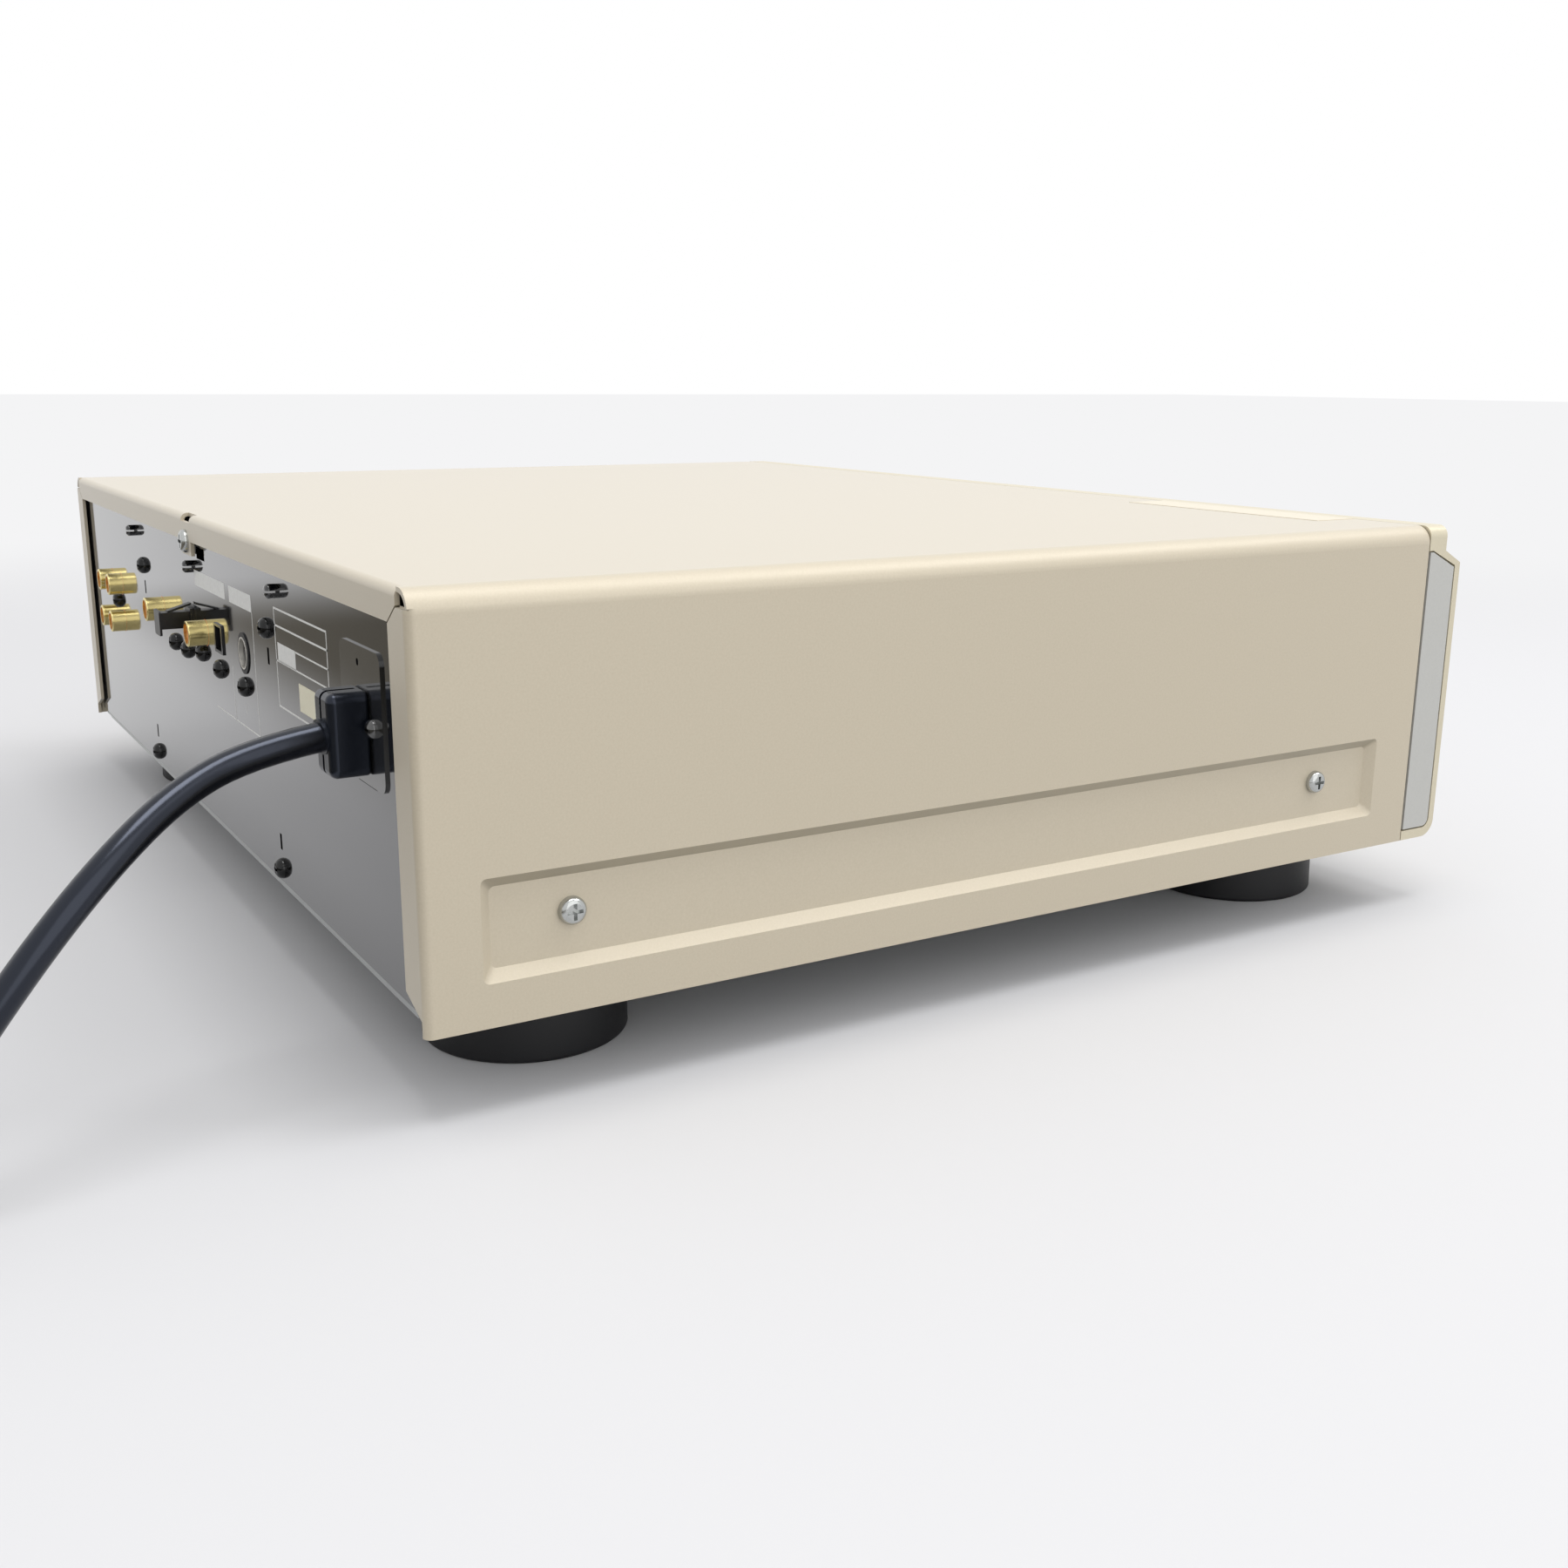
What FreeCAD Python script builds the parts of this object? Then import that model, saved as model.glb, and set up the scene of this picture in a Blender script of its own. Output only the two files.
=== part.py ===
"""A full-width home audio deck that plays and records small cartridge discs.

Millimetres.  +Z is up, the front faces -Y, X runs across with +X on the right of the front.
The origin is on the floor, under the middle of the deck without its mains cord.
Heights called "height" are measured up from the underside of the case.
"""
import FreeCAD, Part
import math
import os

V = FreeCAD.Vector
X_AXIS, Y_AXIS, Z_AXIS = V(1, 0, 0), V(0, 1, 0), V(0, 0, 1)

# ---- case ----
width = 430.0
cover_height = 102.7
cover_depth = 332.7
foot_height = 22.0
cover_sheet = 1.2             # thickness of the folded steel cover
chassis_sheet = 1.2           # bottom plate and front subframe
rear_sheet = 1.2
top_bend = 5.5                # outer radius where the cover's top meets its sides
rear_bend = 2.2               # outer radius of the cover's rear folds
rear_lip = 8.4                # how far the cover's top folds down at the rear
rear_flange = 12.7            # how far each side folds in at the rear
corner_wide, corner_deep = 6.8, 4.2         # the rounded top corner that runs back unfolded
corner_start, corner_short = 2.5, 0.45      # its cut starts and it ends this far from the rear
corner_slit, corner_cut = 0.35, 1.0
cover_tab_half, cover_tab_drop = 6.0, 4.4   # the tab that takes the cover's rear screw
rear_recess = 2.0             # the rear panel lies this far inside the lip's outer face
rear_panel_lift = 3.0         # gap under the rear panel
fold_gap = 0.3                # clearance between sheets that slide past each other
cover_gap = 0.4               # joint between the front panel and the cover

# ---- pressed recess in each side of the cover ----
emboss_depth = 2.5
emboss_slope = 2.8
emboss_front, emboss_rear = 16.4, 14.3      # from the cover's front and rear edges
emboss_low, emboss_high = 10.8, 36.2
emboss_corner = 2.6

# ---- fasteners ----
side_screw_from_front, side_screw_from_rear = 41.6, 37.6
side_screw_height = 24.6
side_screw_head = (3.5, 2.4)                # radius, height
rear_screw_head = (3.05, 2.3)
cover_screw_head = (3.7, 2.1)
screw_shank = 1.5
shank_clearance = 0.15
shank_reach = 5.5
foot_screw_length = 9.0
foot_well_radius, foot_well_depth = 8.0, 13.0

# ---- feet ----
foot_radius = 27.3
foot_from_side = 49.0
foot_from_front, foot_from_rear = 26.8, 43.9
foot_taper = 0.5
foot_edge = 1.2

# ---- front panel ----
panel_depth = 15.5
panel_wall = 3.0
panel_end = 6.0
ledge_depth = 7.9             # flat top strip next to the cover
ledge_drop = 8.0
chamfer_drop = 4.1
ledge_corner = 3.5
lower_corner = 5.5
insert_thickness = 2.0
insert_gap = 0.5
insert_back, insert_front = 0.7, 12.6
insert_low, insert_high, insert_shoulder = 3.6, 94.4, 5.1
insert_corner = 2.5

# ---- controls ----
control_clearance = 0.3
button_proud = 2.0
button_travel = 0.8
button_flange = 1.0
button_rest_gap = 0.1
stem_radius = 2.0
switch_size, switch_depth = 6.0, 3.4
left_column = 29.0            # power button, slide switch and phones socket, from the left end
phones_column, input_column = 61.0, 95.0    # the two small knobs, from the left end
record_column, jog_column = 44.0, 99.0      # the two large knobs, from the right end
button_pitch = 24.0           # from each transport button to the next
eject_from_slot = 23.5
button_row, small_knob_row, large_knob_row = 22.0, 24.0, 60.0
knob_reach = 16.6             # how far the record level knob stands out of the front
knob_gap = 0.6
shaft_radius = 3.0
shaft_clearance = 0.05
pot_size, pot_depth = 14.0, 6.0
timer_travel = 4.0
phones_bore = 3.2             # radius: takes a 6.35 mm plug
phones_depth = 26.0
phones_nut_radius = 6.5
jack_window_gap = 0.6
light_half = 18.0             # half width of the subframe's lightening holes
board_notch = 13.0            # the display board stays this far clear of the phones socket
board_ear_low, board_ear_high = 45.0, 12.0  # its ears, from its lower and upper edges
window_width, window_tall, window_height = 132.0, 28.0, 38.0
window_thickness, window_rim = 2.0, 3.0
tube_thickness = 4.5

# ---- cartridge path ----
cartridge_width, cartridge_length, cartridge_thickness = 72.0, 68.0, 5.0
slot_height = 72.3            # middle of the cartridge as it goes in
slot_side_gap = 2.5
slot_below, slot_above = 3.9, 6.7
flap_thickness = 1.6
flap_pivot_below_top = 1.6
flap_pin = 0.8
holder_sheet = 0.8
holder_gap = 0.5
holder_start = 5.0            # mouth of the holder behind the front panel
holder_drop = 4.0
cam_slope = 2.0               # how far the cam slides for each millimetre of drop
pin_radius = 1.0
pin_clearance = 0.15
pin_rows = (14.0, 58.0)       # behind the holder's mouth
hub_from_mouth = 36.0

# ---- disc mechanism ----
frame_half = 48.0             # inner faces of the mechanism's side walls
frame_sheet = 1.5
frame_length = 112.0
deck_height = 52.0
foot_flange = 9.0
motor_radius, motor_tall = 10.0, 7.8
turntable_radius, turntable_thick = 6.5, 1.6
turntable_above_lowered = 1.0
spindle_radius = 0.75
rod_radius, rod_offset, rod_height = 1.5, 11.0, 59.5
lead_radius, lead_offset = 1.2, 16.5
bearing_clearance = 0.05
sled_start, sled_length, sled_travel = 11.0, 13.0, 16.0
sled_thick = 5.5
lens_radius, lens_tall = 2.5, 1.3
post_thick = 2.0
lead_post_gap = 3.0           # the outer lead screw post, beyond the sled's last place
lead_gear_radius = 2.5

# ---- boards and power parts ----
board_thick = 1.6
standoff_tall, standoff_radius = 8.0, 3.0
board_from_side = 19.0
board_from_frame = 3.5
main_board_span = (60.0, 250.0)             # distances behind the front panel
power_board_size = (126.0, 130.0)
power_board_from_rear = 42.7
heat_sink_from_end, heat_sink_tall = 40.0, 32.0
fin_pitch, fin_depth = 9.0, 9.0
small_chip, large_chip, chip_tall = 6.0, 9.0, 2.2       # half sizes, and height
transformer_from_side, transformer_row = 65.0, 90.0
transformer_size = (72.0, 58.0, 52.0)
capacitor_first, capacitor_pitch, capacitor_row = 18.0, 24.0, 22.0
capacitor_radius, capacitor_tall = 9.0, 34.0
loading_motor_size = (24.0, 15.0, 12.0)
loading_motor_from_wall = 12.0

# ---- rear panel ----
rear_screw_from_side = 127.3
rear_screw_high, rear_screw_low = 77.6, 7.3
slot_hole = (1.0, 2.4)                      # half width, half height
slot_hole_shift = 8.0
jack_screws = ((-58.2, 56.0), (-27.0, 56.5), (-3.0, 58.3), (20.0, 56.0), (39.5, 55.9),
               (146.2, 57.9))
rivets = ((-100.5, 89.4), (4.0, 85.6), (99.5, 89.4))
rivet_radius, rivet_proud = 2.0, 3.2
line_columns, line_rows = (138.3, 157.4), (65.2, 50.6)
coax_jacks = ((58.3, 65.2), (-9.0, 65.6))
jack_radius, jack_bore = 4.15, 3.3
line_proud, coax_proud = 5.3, 6.2           # how far the two kinds of jack stand out
jack_seat, jack_seat_radius, jack_ring = 2.0, 3.9, 0.2
jack_block, jack_block_depth = 11.2, 11.0
jack_pin_radius, jack_face_inset = 1.6, 1.0
optical_sockets = ((8.4, 68.0), (-28.0, 66.3))
optical_width, optical_tall, optical_proud = 10.4, 9.2, 0.5
optical_bore, optical_bore_depth, optical_depth = 7.4, 6.0, 12.0
cap_reach = 11.5                            # the dust cap's end, out of the rear panel
cap_neck, cap_plate, cap_plate_thick = 5.4, 8.2, 0.7
cap_plate_drop = 0.6
cap_strap_half, cap_strap_back, cap_strap_rise = 1.6, 3.2, 2.0   # the slanting pull strap on the cap
cap_fit = 0.1
din_place = (-59.0, 66.2)
din_radius, din_shield, din_depth = 6.2, 4.8, 12.0
din_shield_thick, din_proud = 0.4, 0.35
rear_window = (-8.0, 7.0, 88.9)             # x middle, half width, lowest height
inlet_from_edge = 39.8                      # inlet's middle to the case's side
inlet_height = 64.8
inlet_plate_size = (31.0, 33.2, 0.6)
inlet_plate_rise = 3.7
inlet_mark = (1.4, 16.2, 0.9)               # small hole in the plate: across, above, radius
inlet_screw_pitch, inlet_screw_rise = 9.4, 2.0
inlet_screw_head = (2.4, 2.2)
inlet_body = (14.0, 27.0, 15.0)
plug_size = (12.2, 20.4, 9.7)
plug_nose = (10.0, 17.6, 9.0)
plug_edge, plug_end_edge, plug_inner_edge = 2.3, 2.0, 0.8
plug_groove, plug_groove_deep = 1.4, 0.8    # the parting groove round the connector
plug_collar, plug_collar_wall = 0.8, 0.7    # the short sleeve that the cord leaves through
plug_clearance = 0.25
inlet_pin_radius, inlet_pin_pitch, inlet_pin_length = 1.15, 8.6, 8.0
serial_label_size = (16.0, 7.5)
serial_label_place = (-126.6, 63.0)
top_label_from_side, top_label_width = 30.0, 88.0
top_label_depth = (1.0, 18.0)
label_thick = 0.15

# ---- mains cord, about 1.5 m long ----
cord_radius = 3.6
cord_exit_height, cord_exit_shift = 64.4, 1.0
coil_radius = 39.0            # to the middle of the bundle
coil_half = 7.4
coil_low, coil_top = 1.0, 23.0
coil_centre = (-163.4, 342.0)
tie_thick, tie_half_width, tie_clearance = 0.9, 4.0, 0.35
cord_tail_route = ((-152.0, 384.5, 18.4), (-131.0, 383.5, 14.0),
                   (-109.0, 379.5, 8.6), (-88.0, 379.0, 8.0))
wall_plug_size = (34.0, 24.0, 16.0)
blade_length, blade_wide, blade_thick, blade_pitch = 17.5, 6.3, 1.5, 12.7

# ---- derived places ----
half = width / 2
foot_x = half - foot_from_side
foot_rows = (foot_from_front, cover_depth - foot_from_rear)
side_screw_rows = (side_screw_from_front, cover_depth - side_screw_from_rear)
rear_screw_x = half - rear_screw_from_side
# buttons are x, height, width, tall; knobs are x, height, radius, length
left_x, right_x, jog_x = left_column - half, half - record_column, half - jog_column
power_button = (left_x, 72.0, 22.0, 11.0)
timer_switch = (left_x, 47.0, 5.0, 4.0)
phones_jack = (left_x, small_knob_row)
phones_knob = (phones_column - half, small_knob_row, 8.0, 12.0)
input_knob = (input_column - half, small_knob_row, 8.0, 12.0)
jog_knob = (jog_x, large_knob_row, 14.0, 14.0)
record_knob = (right_x, large_knob_row, 18.0, knob_reach)
play_button = (jog_x - button_pitch, button_row, 17.0, 8.0)
pause_button = (jog_x, button_row, 17.0, 8.0)
stop_button = (jog_x + button_pitch, button_row, 17.0, 8.0)
record_button = (right_x, button_row, 15.0, 8.0)
eject_button = (cartridge_width / 2 + slot_side_gap + eject_from_slot, 73.5, 20.0, 8.0)
case_bottom = foot_height
case_top = case_bottom + cover_height
front = (panel_depth + knob_reach - (cover_depth - rear_recess + cap_reach)) / 2
face = front - panel_depth                  # the front panel's outer face
wall_back = face + panel_wall
rear_edge = front + cover_depth
rear_face = rear_edge - rear_recess
rear_inner = rear_face - rear_sheet
bulge = half - emboss_depth - cover_sheet   # inner face of the pressed recess
plate_top = case_bottom + chassis_sheet
board_front = front - 4.0
board_back = board_front + board_thick
subframe_back = front + chassis_sheet
mouth = front + holder_start
hub_y = mouth + hub_from_mouth
deck_top = case_bottom + deck_height + chassis_sheet
lead_post_x = sled_start + sled_length + sled_travel + lead_post_gap
slot_z = case_bottom + slot_height
holder_half = cartridge_width / 2 + holder_gap
holder_rise = cartridge_thickness / 2 + holder_gap
holder_end = mouth + cartridge_length + 2 * holder_gap + holder_sheet
inlet_x = inlet_from_edge - half
frame_reach = frame_half + frame_sheet + foot_flange
main_board = (frame_reach + board_from_frame, half - board_from_side) + main_board_span
power_board_end = cover_depth - power_board_from_rear
power_board = (board_from_side - half, board_from_side - half + power_board_size[0],
               power_board_end - power_board_size[1], power_board_end)
inlet_z = case_bottom + inlet_height
plate_face = rear_face + inlet_plate_size[2]
plug_end = plate_face + plug_size[2]
cord_exit = (inlet_x - cord_exit_shift, plug_end + plug_collar, case_bottom + cord_exit_height)
cord_route = (cord_exit, (-177.8, 204.0, 84.6), (-185.0, 222.0, 78.5), (-196.0, 240.0, 67.0),
              (-202.5, 258.0, 49.5), (-205.0, 278.0, 24.0), (-206.0, 296.0, 8.5),
              (-206.0, 326.0, 4.6))


# ---- helpers ----
def block(x, y, z):
    """A box between two corners, each axis given as (low, high)."""
    return Part.makeBox(x[1] - x[0], y[1] - y[0], z[1] - z[0], V(x[0], y[0], z[0]))


def around(middle, half_size):
    return (middle - half_size, middle + half_size)


def rod(radius, start, end):
    start, end = V(*start), V(*end)
    return Part.makeCylinder(radius, (end - start).Length, start, end - start)


def prism(points, push):
    """A flat outline through 3-D points, pushed along a vector."""
    outline = [V(*point) for point in points]
    return Part.Face(Part.makePolygon(outline + outline[:1])).extrude(V(*push))


def edges_along(shape, axis, keep=lambda edge: True):
    found = []
    for edge in shape.Edges:
        if isinstance(edge.Curve, Part.Line) and abs(edge.Curve.Direction.dot(axis)) > 0.999:
            if keep(edge):
                found.append(edge)
    return found


def soften(shape, radius, axis, keep=lambda edge: True):
    return shape.makeFillet(radius, edges_along(shape, axis, keep))


def join(first, *others):
    return first.fuse(list(others)).removeSplitter() if others else first


def carve(shape, *tools):
    return shape.cut(list(tools))


def save(name, *solids):
    shape = solids[0] if len(solids) == 1 else Part.makeCompound(list(solids))
    shape.exportStep("parts/%s.step" % name)


def turn_to(shape, direction, place):
    """Stands a shape made along +Z on `place`, pointing along `direction`."""
    shape.Placement = FreeCAD.Placement(V(*place), FreeCAD.Rotation(Z_AXIS, V(*direction)))
    return shape


def screw(place, direction, head, shank=screw_shank, reach=shank_reach, dome=0.7):
    """A cross-head pan screw whose head sits on `place`."""
    radius, tall = head
    body = Part.makeCylinder(radius, tall)
    rim = [edge for edge in body.Edges if isinstance(edge.Curve, Part.Circle)
           and edge.Curve.Center.z > tall / 2]
    body = body.makeFillet(dome * tall, rim)
    long, wide, floor = 0.58 * radius, 0.13 * radius, 0.45 * tall
    cross = [block((-long, long), (-wide, wide), (floor, 2 * tall)),
             block((-wide, wide), (-long, long), (floor, 2 * tall))]
    shaft = Part.makeCylinder(shank, reach, V(0, 0, -reach))
    return turn_to(join(carve(body, *cross), shaft), direction, place)


def screw_hole(place, direction, depth, radius=screw_shank + shank_clearance):
    start = V(*place) + V(*direction)
    return Part.makeCylinder(radius, depth + 1.0, start, V(*direction).negative())


def mirrored(shape):
    return shape.mirror(V(0, 0, 0), X_AXIS)


# ---- case ----
def side_screw_places():
    return [(side * (half - emboss_depth), front + row, case_bottom + side_screw_height)
            for side in (-1, 1) for row in side_screw_rows]


def rear_screw_places():
    corners = [(side * rear_screw_x, height) for side in (-1, 1)
               for height in (rear_screw_high, rear_screw_low)]
    return [(x, rear_face, case_bottom + height) for x, height in corners + list(jack_screws)]


def foot_places():
    return [(side * foot_x, front + row) for side in (-1, 1) for row in foot_rows]


def emboss(depth_out, depth_in, grow):
    """The pressed recess on the +X side as a tapered slab between two depths, grown all round."""
    x_out, x_in = half - depth_out, half - depth_in
    slope = emboss_slope / emboss_depth * (x_out - x_in)
    y_low, y_high = front + emboss_front - grow, rear_edge - emboss_rear + grow
    z_low, z_high = case_bottom + emboss_low - grow, case_bottom + emboss_high + grow
    side_view = [(x_out, y_low, z_low), (x_out, y_low, z_high),
                 (x_in, y_low, z_high - slope), (x_in, y_low, z_low + slope)]
    plan_view = [(x_out, y_low, z_low), (x_out, y_high, z_low),
                 (x_in, y_high - slope, z_low), (x_in, y_low + slope, z_low)]
    slab = prism(side_view, (0, y_high - y_low, 0)).common(prism(plan_view, (0, 0, z_high - z_low)))
    corners = [edge for edge in slab.Edges if edge.Length < 4 * emboss_slope]
    return slab.makeFillet(emboss_corner + grow, corners)


def corner_region(side, start, back, deep):
    """The box round a rear top corner of the cover, down to `deep`, from `start` to `back`."""
    x = (half - corner_wide, half + 1) if side > 0 else (-half - 1, corner_wide - half)
    return block(x, (rear_edge - start, back), (case_top - deep, case_top + 1))


def mitre_slit(side):
    """The slanting slit between the rear lip and a side flange."""
    top, end = corner_deep - corner_slit, rear_lip + 0.1
    wide = 1.5 * corner_slit
    points = [(side * (half - inward), rear_edge - 2 * cover_sheet, case_top - down)
              for inward, down in ((corner_wide - corner_slit, top),
                                   (corner_wide - corner_slit, top + wide),
                                   (rear_flange + corner_slit, end + wide),
                                   (rear_flange + corner_slit, end))]
    return prism(points, (0, 3 * cover_sheet, 0))


def flange_foot(side):
    """The slanting cut at the bottom of a side flange."""
    inner, outer = half - rear_flange - 1, half - rear_bend
    points = [(side * outer, rear_edge - 2 * cover_sheet, case_bottom - 1),
              (side * outer, rear_edge - 2 * cover_sheet, case_bottom + 4.0),
              (side * inner, rear_edge - 2 * cover_sheet, case_bottom + 8.5),
              (side * inner, rear_edge - 2 * cover_sheet, case_bottom - 1)]
    return prism(points, (0, 3 * cover_sheet, 0))


def bent_box(side, start, rear, top, bend, low=case_bottom):
    """A box with its top side edges rounded."""
    body = block((-side, side), (start, rear), (low, top))
    return soften(body, bend, Y_AXIS, lambda e: e.CenterOfMass.z > top - 1)


def folded_box(side, start, rear, top, side_bend, end_bend, low=case_bottom):
    """A box with its top side edges rounded, then all its rear edges but the lowest."""
    body = bent_box(side, start, rear, top, side_bend, low)
    rims = [e for e in body.Edges if e.CenterOfMass.y > rear - 0.01 and e.CenterOfMass.z > low + 1]
    return body.makeFillet(end_bend, rims)


def make_top_cover():
    start = front + cover_gap
    outer = folded_box(half, start, rear_edge, case_top, top_bend, rear_bend)
    rear = rear_edge - cover_sheet
    inner = folded_box(half - cover_sheet, start - 1, rear, case_top - cover_sheet,
                       top_bend - cover_sheet, rear_bend - cover_sheet, case_bottom - 1)
    cover = carve(outer, inner)
    opening = block(around(0, half - rear_flange), (rear - 1, rear_edge + 1),
                    (case_bottom - 1, case_top - rear_lip))
    cover = carve(cover, opening, *[cut(s) for s in (-1, 1) for cut in (mitre_slit, flange_foot)])
    bend = carve(bent_box(half, start, rear_edge, case_top, top_bend),
                 bent_box(half - cover_sheet, start, rear_edge, case_top - cover_sheet,
                          top_bend - cover_sheet))
    for side in (-1, 1):
        corner = bend.common(corner_region(side, corner_start, rear_edge - corner_short, corner_deep))
        cover = carve(cover, corner_region(side, corner_start, rear_edge + 1, corner_deep),
                      corner_region(side, corner_cut, rear_edge + 1, corner_deep + corner_slit))
        cover = join(cover, corner)
    for make in (lambda s: s, mirrored):
        cover = join(cover, make(emboss(cover_sheet / 2, emboss_depth + cover_sheet, cover_sheet / 2)))
        cover = carve(cover, make(emboss(0.0, emboss_depth, 0.0)))
    screw_z = case_top - rear_lip - 0.1
    tab = block(around(0, cover_tab_half), (rear, rear_edge),
                (screw_z - cover_tab_drop, case_top - rear_lip + 1))
    slot = block(around(0, cover_tab_half), (rear_edge - 2.8, rear_edge + 1),
                 (case_top - 2 * cover_sheet, case_top + 1))
    holes = [screw_hole((x, y, z), (math.copysign(1, x), 0, 0), 3 * cover_sheet)
             for x, y, z in side_screw_places()]
    holes.append(screw_hole((0, rear_edge, screw_z), (0, 1, 0), 2 * cover_sheet))
    cover = carve(join(cover, tab), slot, *holes)
    save("top_cover", cover)
    save("cover_screw", screw((0, rear_edge, screw_z), (0, 1, 0), cover_screw_head))
    return screw_z


def make_bottom_plate():
    rear = rear_inner - fold_gap
    plate = block((-bulge, bulge), (front, rear), (case_bottom, plate_top))
    flange_z = (case_bottom, case_bottom + side_screw_height + 12)
    left = block((-bulge, -bulge + chassis_sheet), (front + 12, rear - 14), flange_z)
    upturn = block(around(0, half - rear_flange - 2), (rear_inner - chassis_sheet, rear_inner),
                   (case_bottom, case_bottom + rear_screw_low + 8))
    posts = [rod(standoff_radius, (x, front + y, case_bottom),
                 (x, front + y, plate_top + standoff_tall))
             for board in (main_board, power_board)
             for x in (board[0] + 6, board[1] - 6) for y in (board[2] + 6, board[3] - 6)]
    plate = join(plate, left, mirrored(left), upturn, *posts)
    holes = [screw_hole((x, y, z), (math.copysign(1, x), 0, 0), 4 * chassis_sheet)
             for x, y, z in side_screw_places()]
    holes += [screw_hole(place, (0, 1, 0), rear_sheet + 2 * chassis_sheet)
              for place in rear_screw_places() if place[2] < case_bottom + rear_screw_low + 1]
    holes += [screw_hole((x, y, case_bottom), (0, 0, -1), foot_screw_length)
              for x, y in foot_places()]
    vents = []
    for row in range(10):
        for x in (-150.0, 150.0):
            y = front + 190 + 7 * row
            vents.append(block(around(x, 22), around(y, 1.25), (case_bottom - 1, plate_top + 1)))
    save("bottom_plate", carve(plate, *holes, *vents))


def make_feet():
    feet, screws = [], []
    for x, y in foot_places():
        foot = Part.makeCone(foot_radius, foot_radius - foot_taper, foot_height, V(x, y, 0))
        rims = [e for e in foot.Edges if isinstance(e.Curve, Part.Circle) and e.Curve.Center.z < 1]
        foot = foot.makeFillet(foot_edge, rims)
        well = Part.makeCylinder(foot_well_radius, foot_well_depth + 1, V(x, y, -1))
        hole = Part.makeCylinder(screw_shank + shank_clearance, foot_height + 2, V(x, y, -1))
        feet.append(carve(foot, well, hole))
        screws.append(screw((x, y, foot_well_depth), (0, 0, -1), side_screw_head,
                            reach=foot_height - foot_well_depth + foot_screw_length / 2))
    save("feet", *feet)
    save("foot_screws", *screws)


def make_case_screws():
    save("side_screws", *[screw((x, y, z), (math.copysign(1, x), 0, 0), side_screw_head)
                          for x, y, z in side_screw_places()])
    save("rear_screws", *[screw(place, (0, 1, 0), rear_screw_head, dome=0.9)
                          for place in rear_screw_places()])


# ---- front ----
def insert_outline(grow, back):
    """The end insert's outline, grown all round, as (distance ahead, height) pairs."""
    ahead = insert_front + grow
    return [(back, insert_low - grow), (ahead, insert_low - grow),
            (ahead, insert_high - insert_shoulder + grow), (2.0, insert_high + grow),
            (back, insert_high + grow)]


def insert_prism(grow, back, x, thickness):
    points = [(x, front - ahead, case_bottom + height)
              for ahead, height in insert_outline(grow, back)]
    shape = prism(points, (thickness, 0, 0))
    corner = front - insert_front - grow
    return soften(shape, insert_corner + grow, X_AXIS,
                  lambda e: e.CenterOfMass.y < corner + 1 and e.CenterOfMass.z < case_bottom + 20)


def panel_profile(inset, back):
    """Side view of the front panel, shrunk by `inset`, as (y, z) pairs."""
    top = case_top - inset
    step = case_top - ledge_drop - inset
    ledge = front - ledge_depth + inset
    chamfer = ledge_depth / (ledge_depth + chamfer_drop) * inset
    return [(back, case_bottom + inset), (face + inset, case_bottom + inset),
            (face + inset, step - chamfer_drop - chamfer / 2), (ledge, step - chamfer / 4),
            (ledge, top), (back, top)]


def control_holes():
    """Openings through the front panel for everything that reaches out of it."""
    through = (face - 1, wall_back + 1)
    holes = []
    for x, height, wide, tall in all_buttons():
        gap = control_clearance
        hole = block(around(x, wide / 2 + gap), through, around(case_bottom + height, tall / 2 + gap))
        holes.append(soften(hole, 1.5 + gap, Y_AXIS))
    for x, height, _, _ in all_knobs():
        z = case_bottom + height
        holes.append(rod(shaft_radius + control_clearance, (x, face - 1, z), (x, wall_back + 1, z)))
    x, height, wide, tall = timer_switch
    holes.append(block(around(x, wide / 2 + timer_travel + control_clearance), through,
                       around(case_bottom + height, tall / 2 + control_clearance)))
    x, z = phones_jack[0], case_bottom + phones_jack[1]
    holes.append(rod(phones_nut_radius - 1.5, (x, face - 1, z), (x, wall_back + 1, z)))
    z = case_bottom + window_height
    pane = (window_width / 2 + 0.2, window_tall / 2 + 0.2)
    holes.append(block(around(0, pane[0]), (face - 1, face + window_thickness), around(z, pane[1])))
    holes.append(block(around(0, pane[0] - window_rim), through, around(z, pane[1] - window_rim)))
    holes.append(slot_opening(face - 1, wall_back + 1))
    pivot = flap_pivot()
    reach = cartridge_width / 2 + slot_side_gap + 2.0
    holes.append(rod(flap_pin + 0.1, (-reach, pivot[0], pivot[1]), (reach, pivot[0], pivot[1])))
    return holes


def slot_opening(start, end):
    return block(around(0, cartridge_width / 2 + slot_side_gap), (start, end),
                 (slot_z - slot_below, slot_z + slot_above))


def all_buttons():
    return (power_button, eject_button, play_button, pause_button, stop_button, record_button)


def all_knobs():
    return (record_knob, phones_knob, input_knob, jog_knob)


def make_front_panel():
    body = prism([(-half, y, z) for y, z in panel_profile(0.0, front)], (width, 0, 0))
    body = soften(body, lower_corner, X_AXIS,
                  lambda e: e.CenterOfMass.y < face + 1 and e.CenterOfMass.z < case_bottom + 1)
    body = soften(body, ledge_corner, Y_AXIS, lambda e: e.CenterOfMass.z > case_top - 1)
    room = half - panel_end
    hollow = prism([(-room, y, z) for y, z in panel_profile(panel_wall, front + 1)],
                   (2 * room, 0, 0))
    pockets = [insert_prism(insert_gap, -1.0, half - insert_thickness, insert_thickness + 1)]
    pockets.append(mirrored(pockets[0]))
    save("front_panel", carve(body, hollow, *pockets, *control_holes()))
    insert = insert_prism(0.0, insert_back, half - insert_thickness, insert_thickness)
    save("end_inserts", insert, mirrored(insert))


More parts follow.
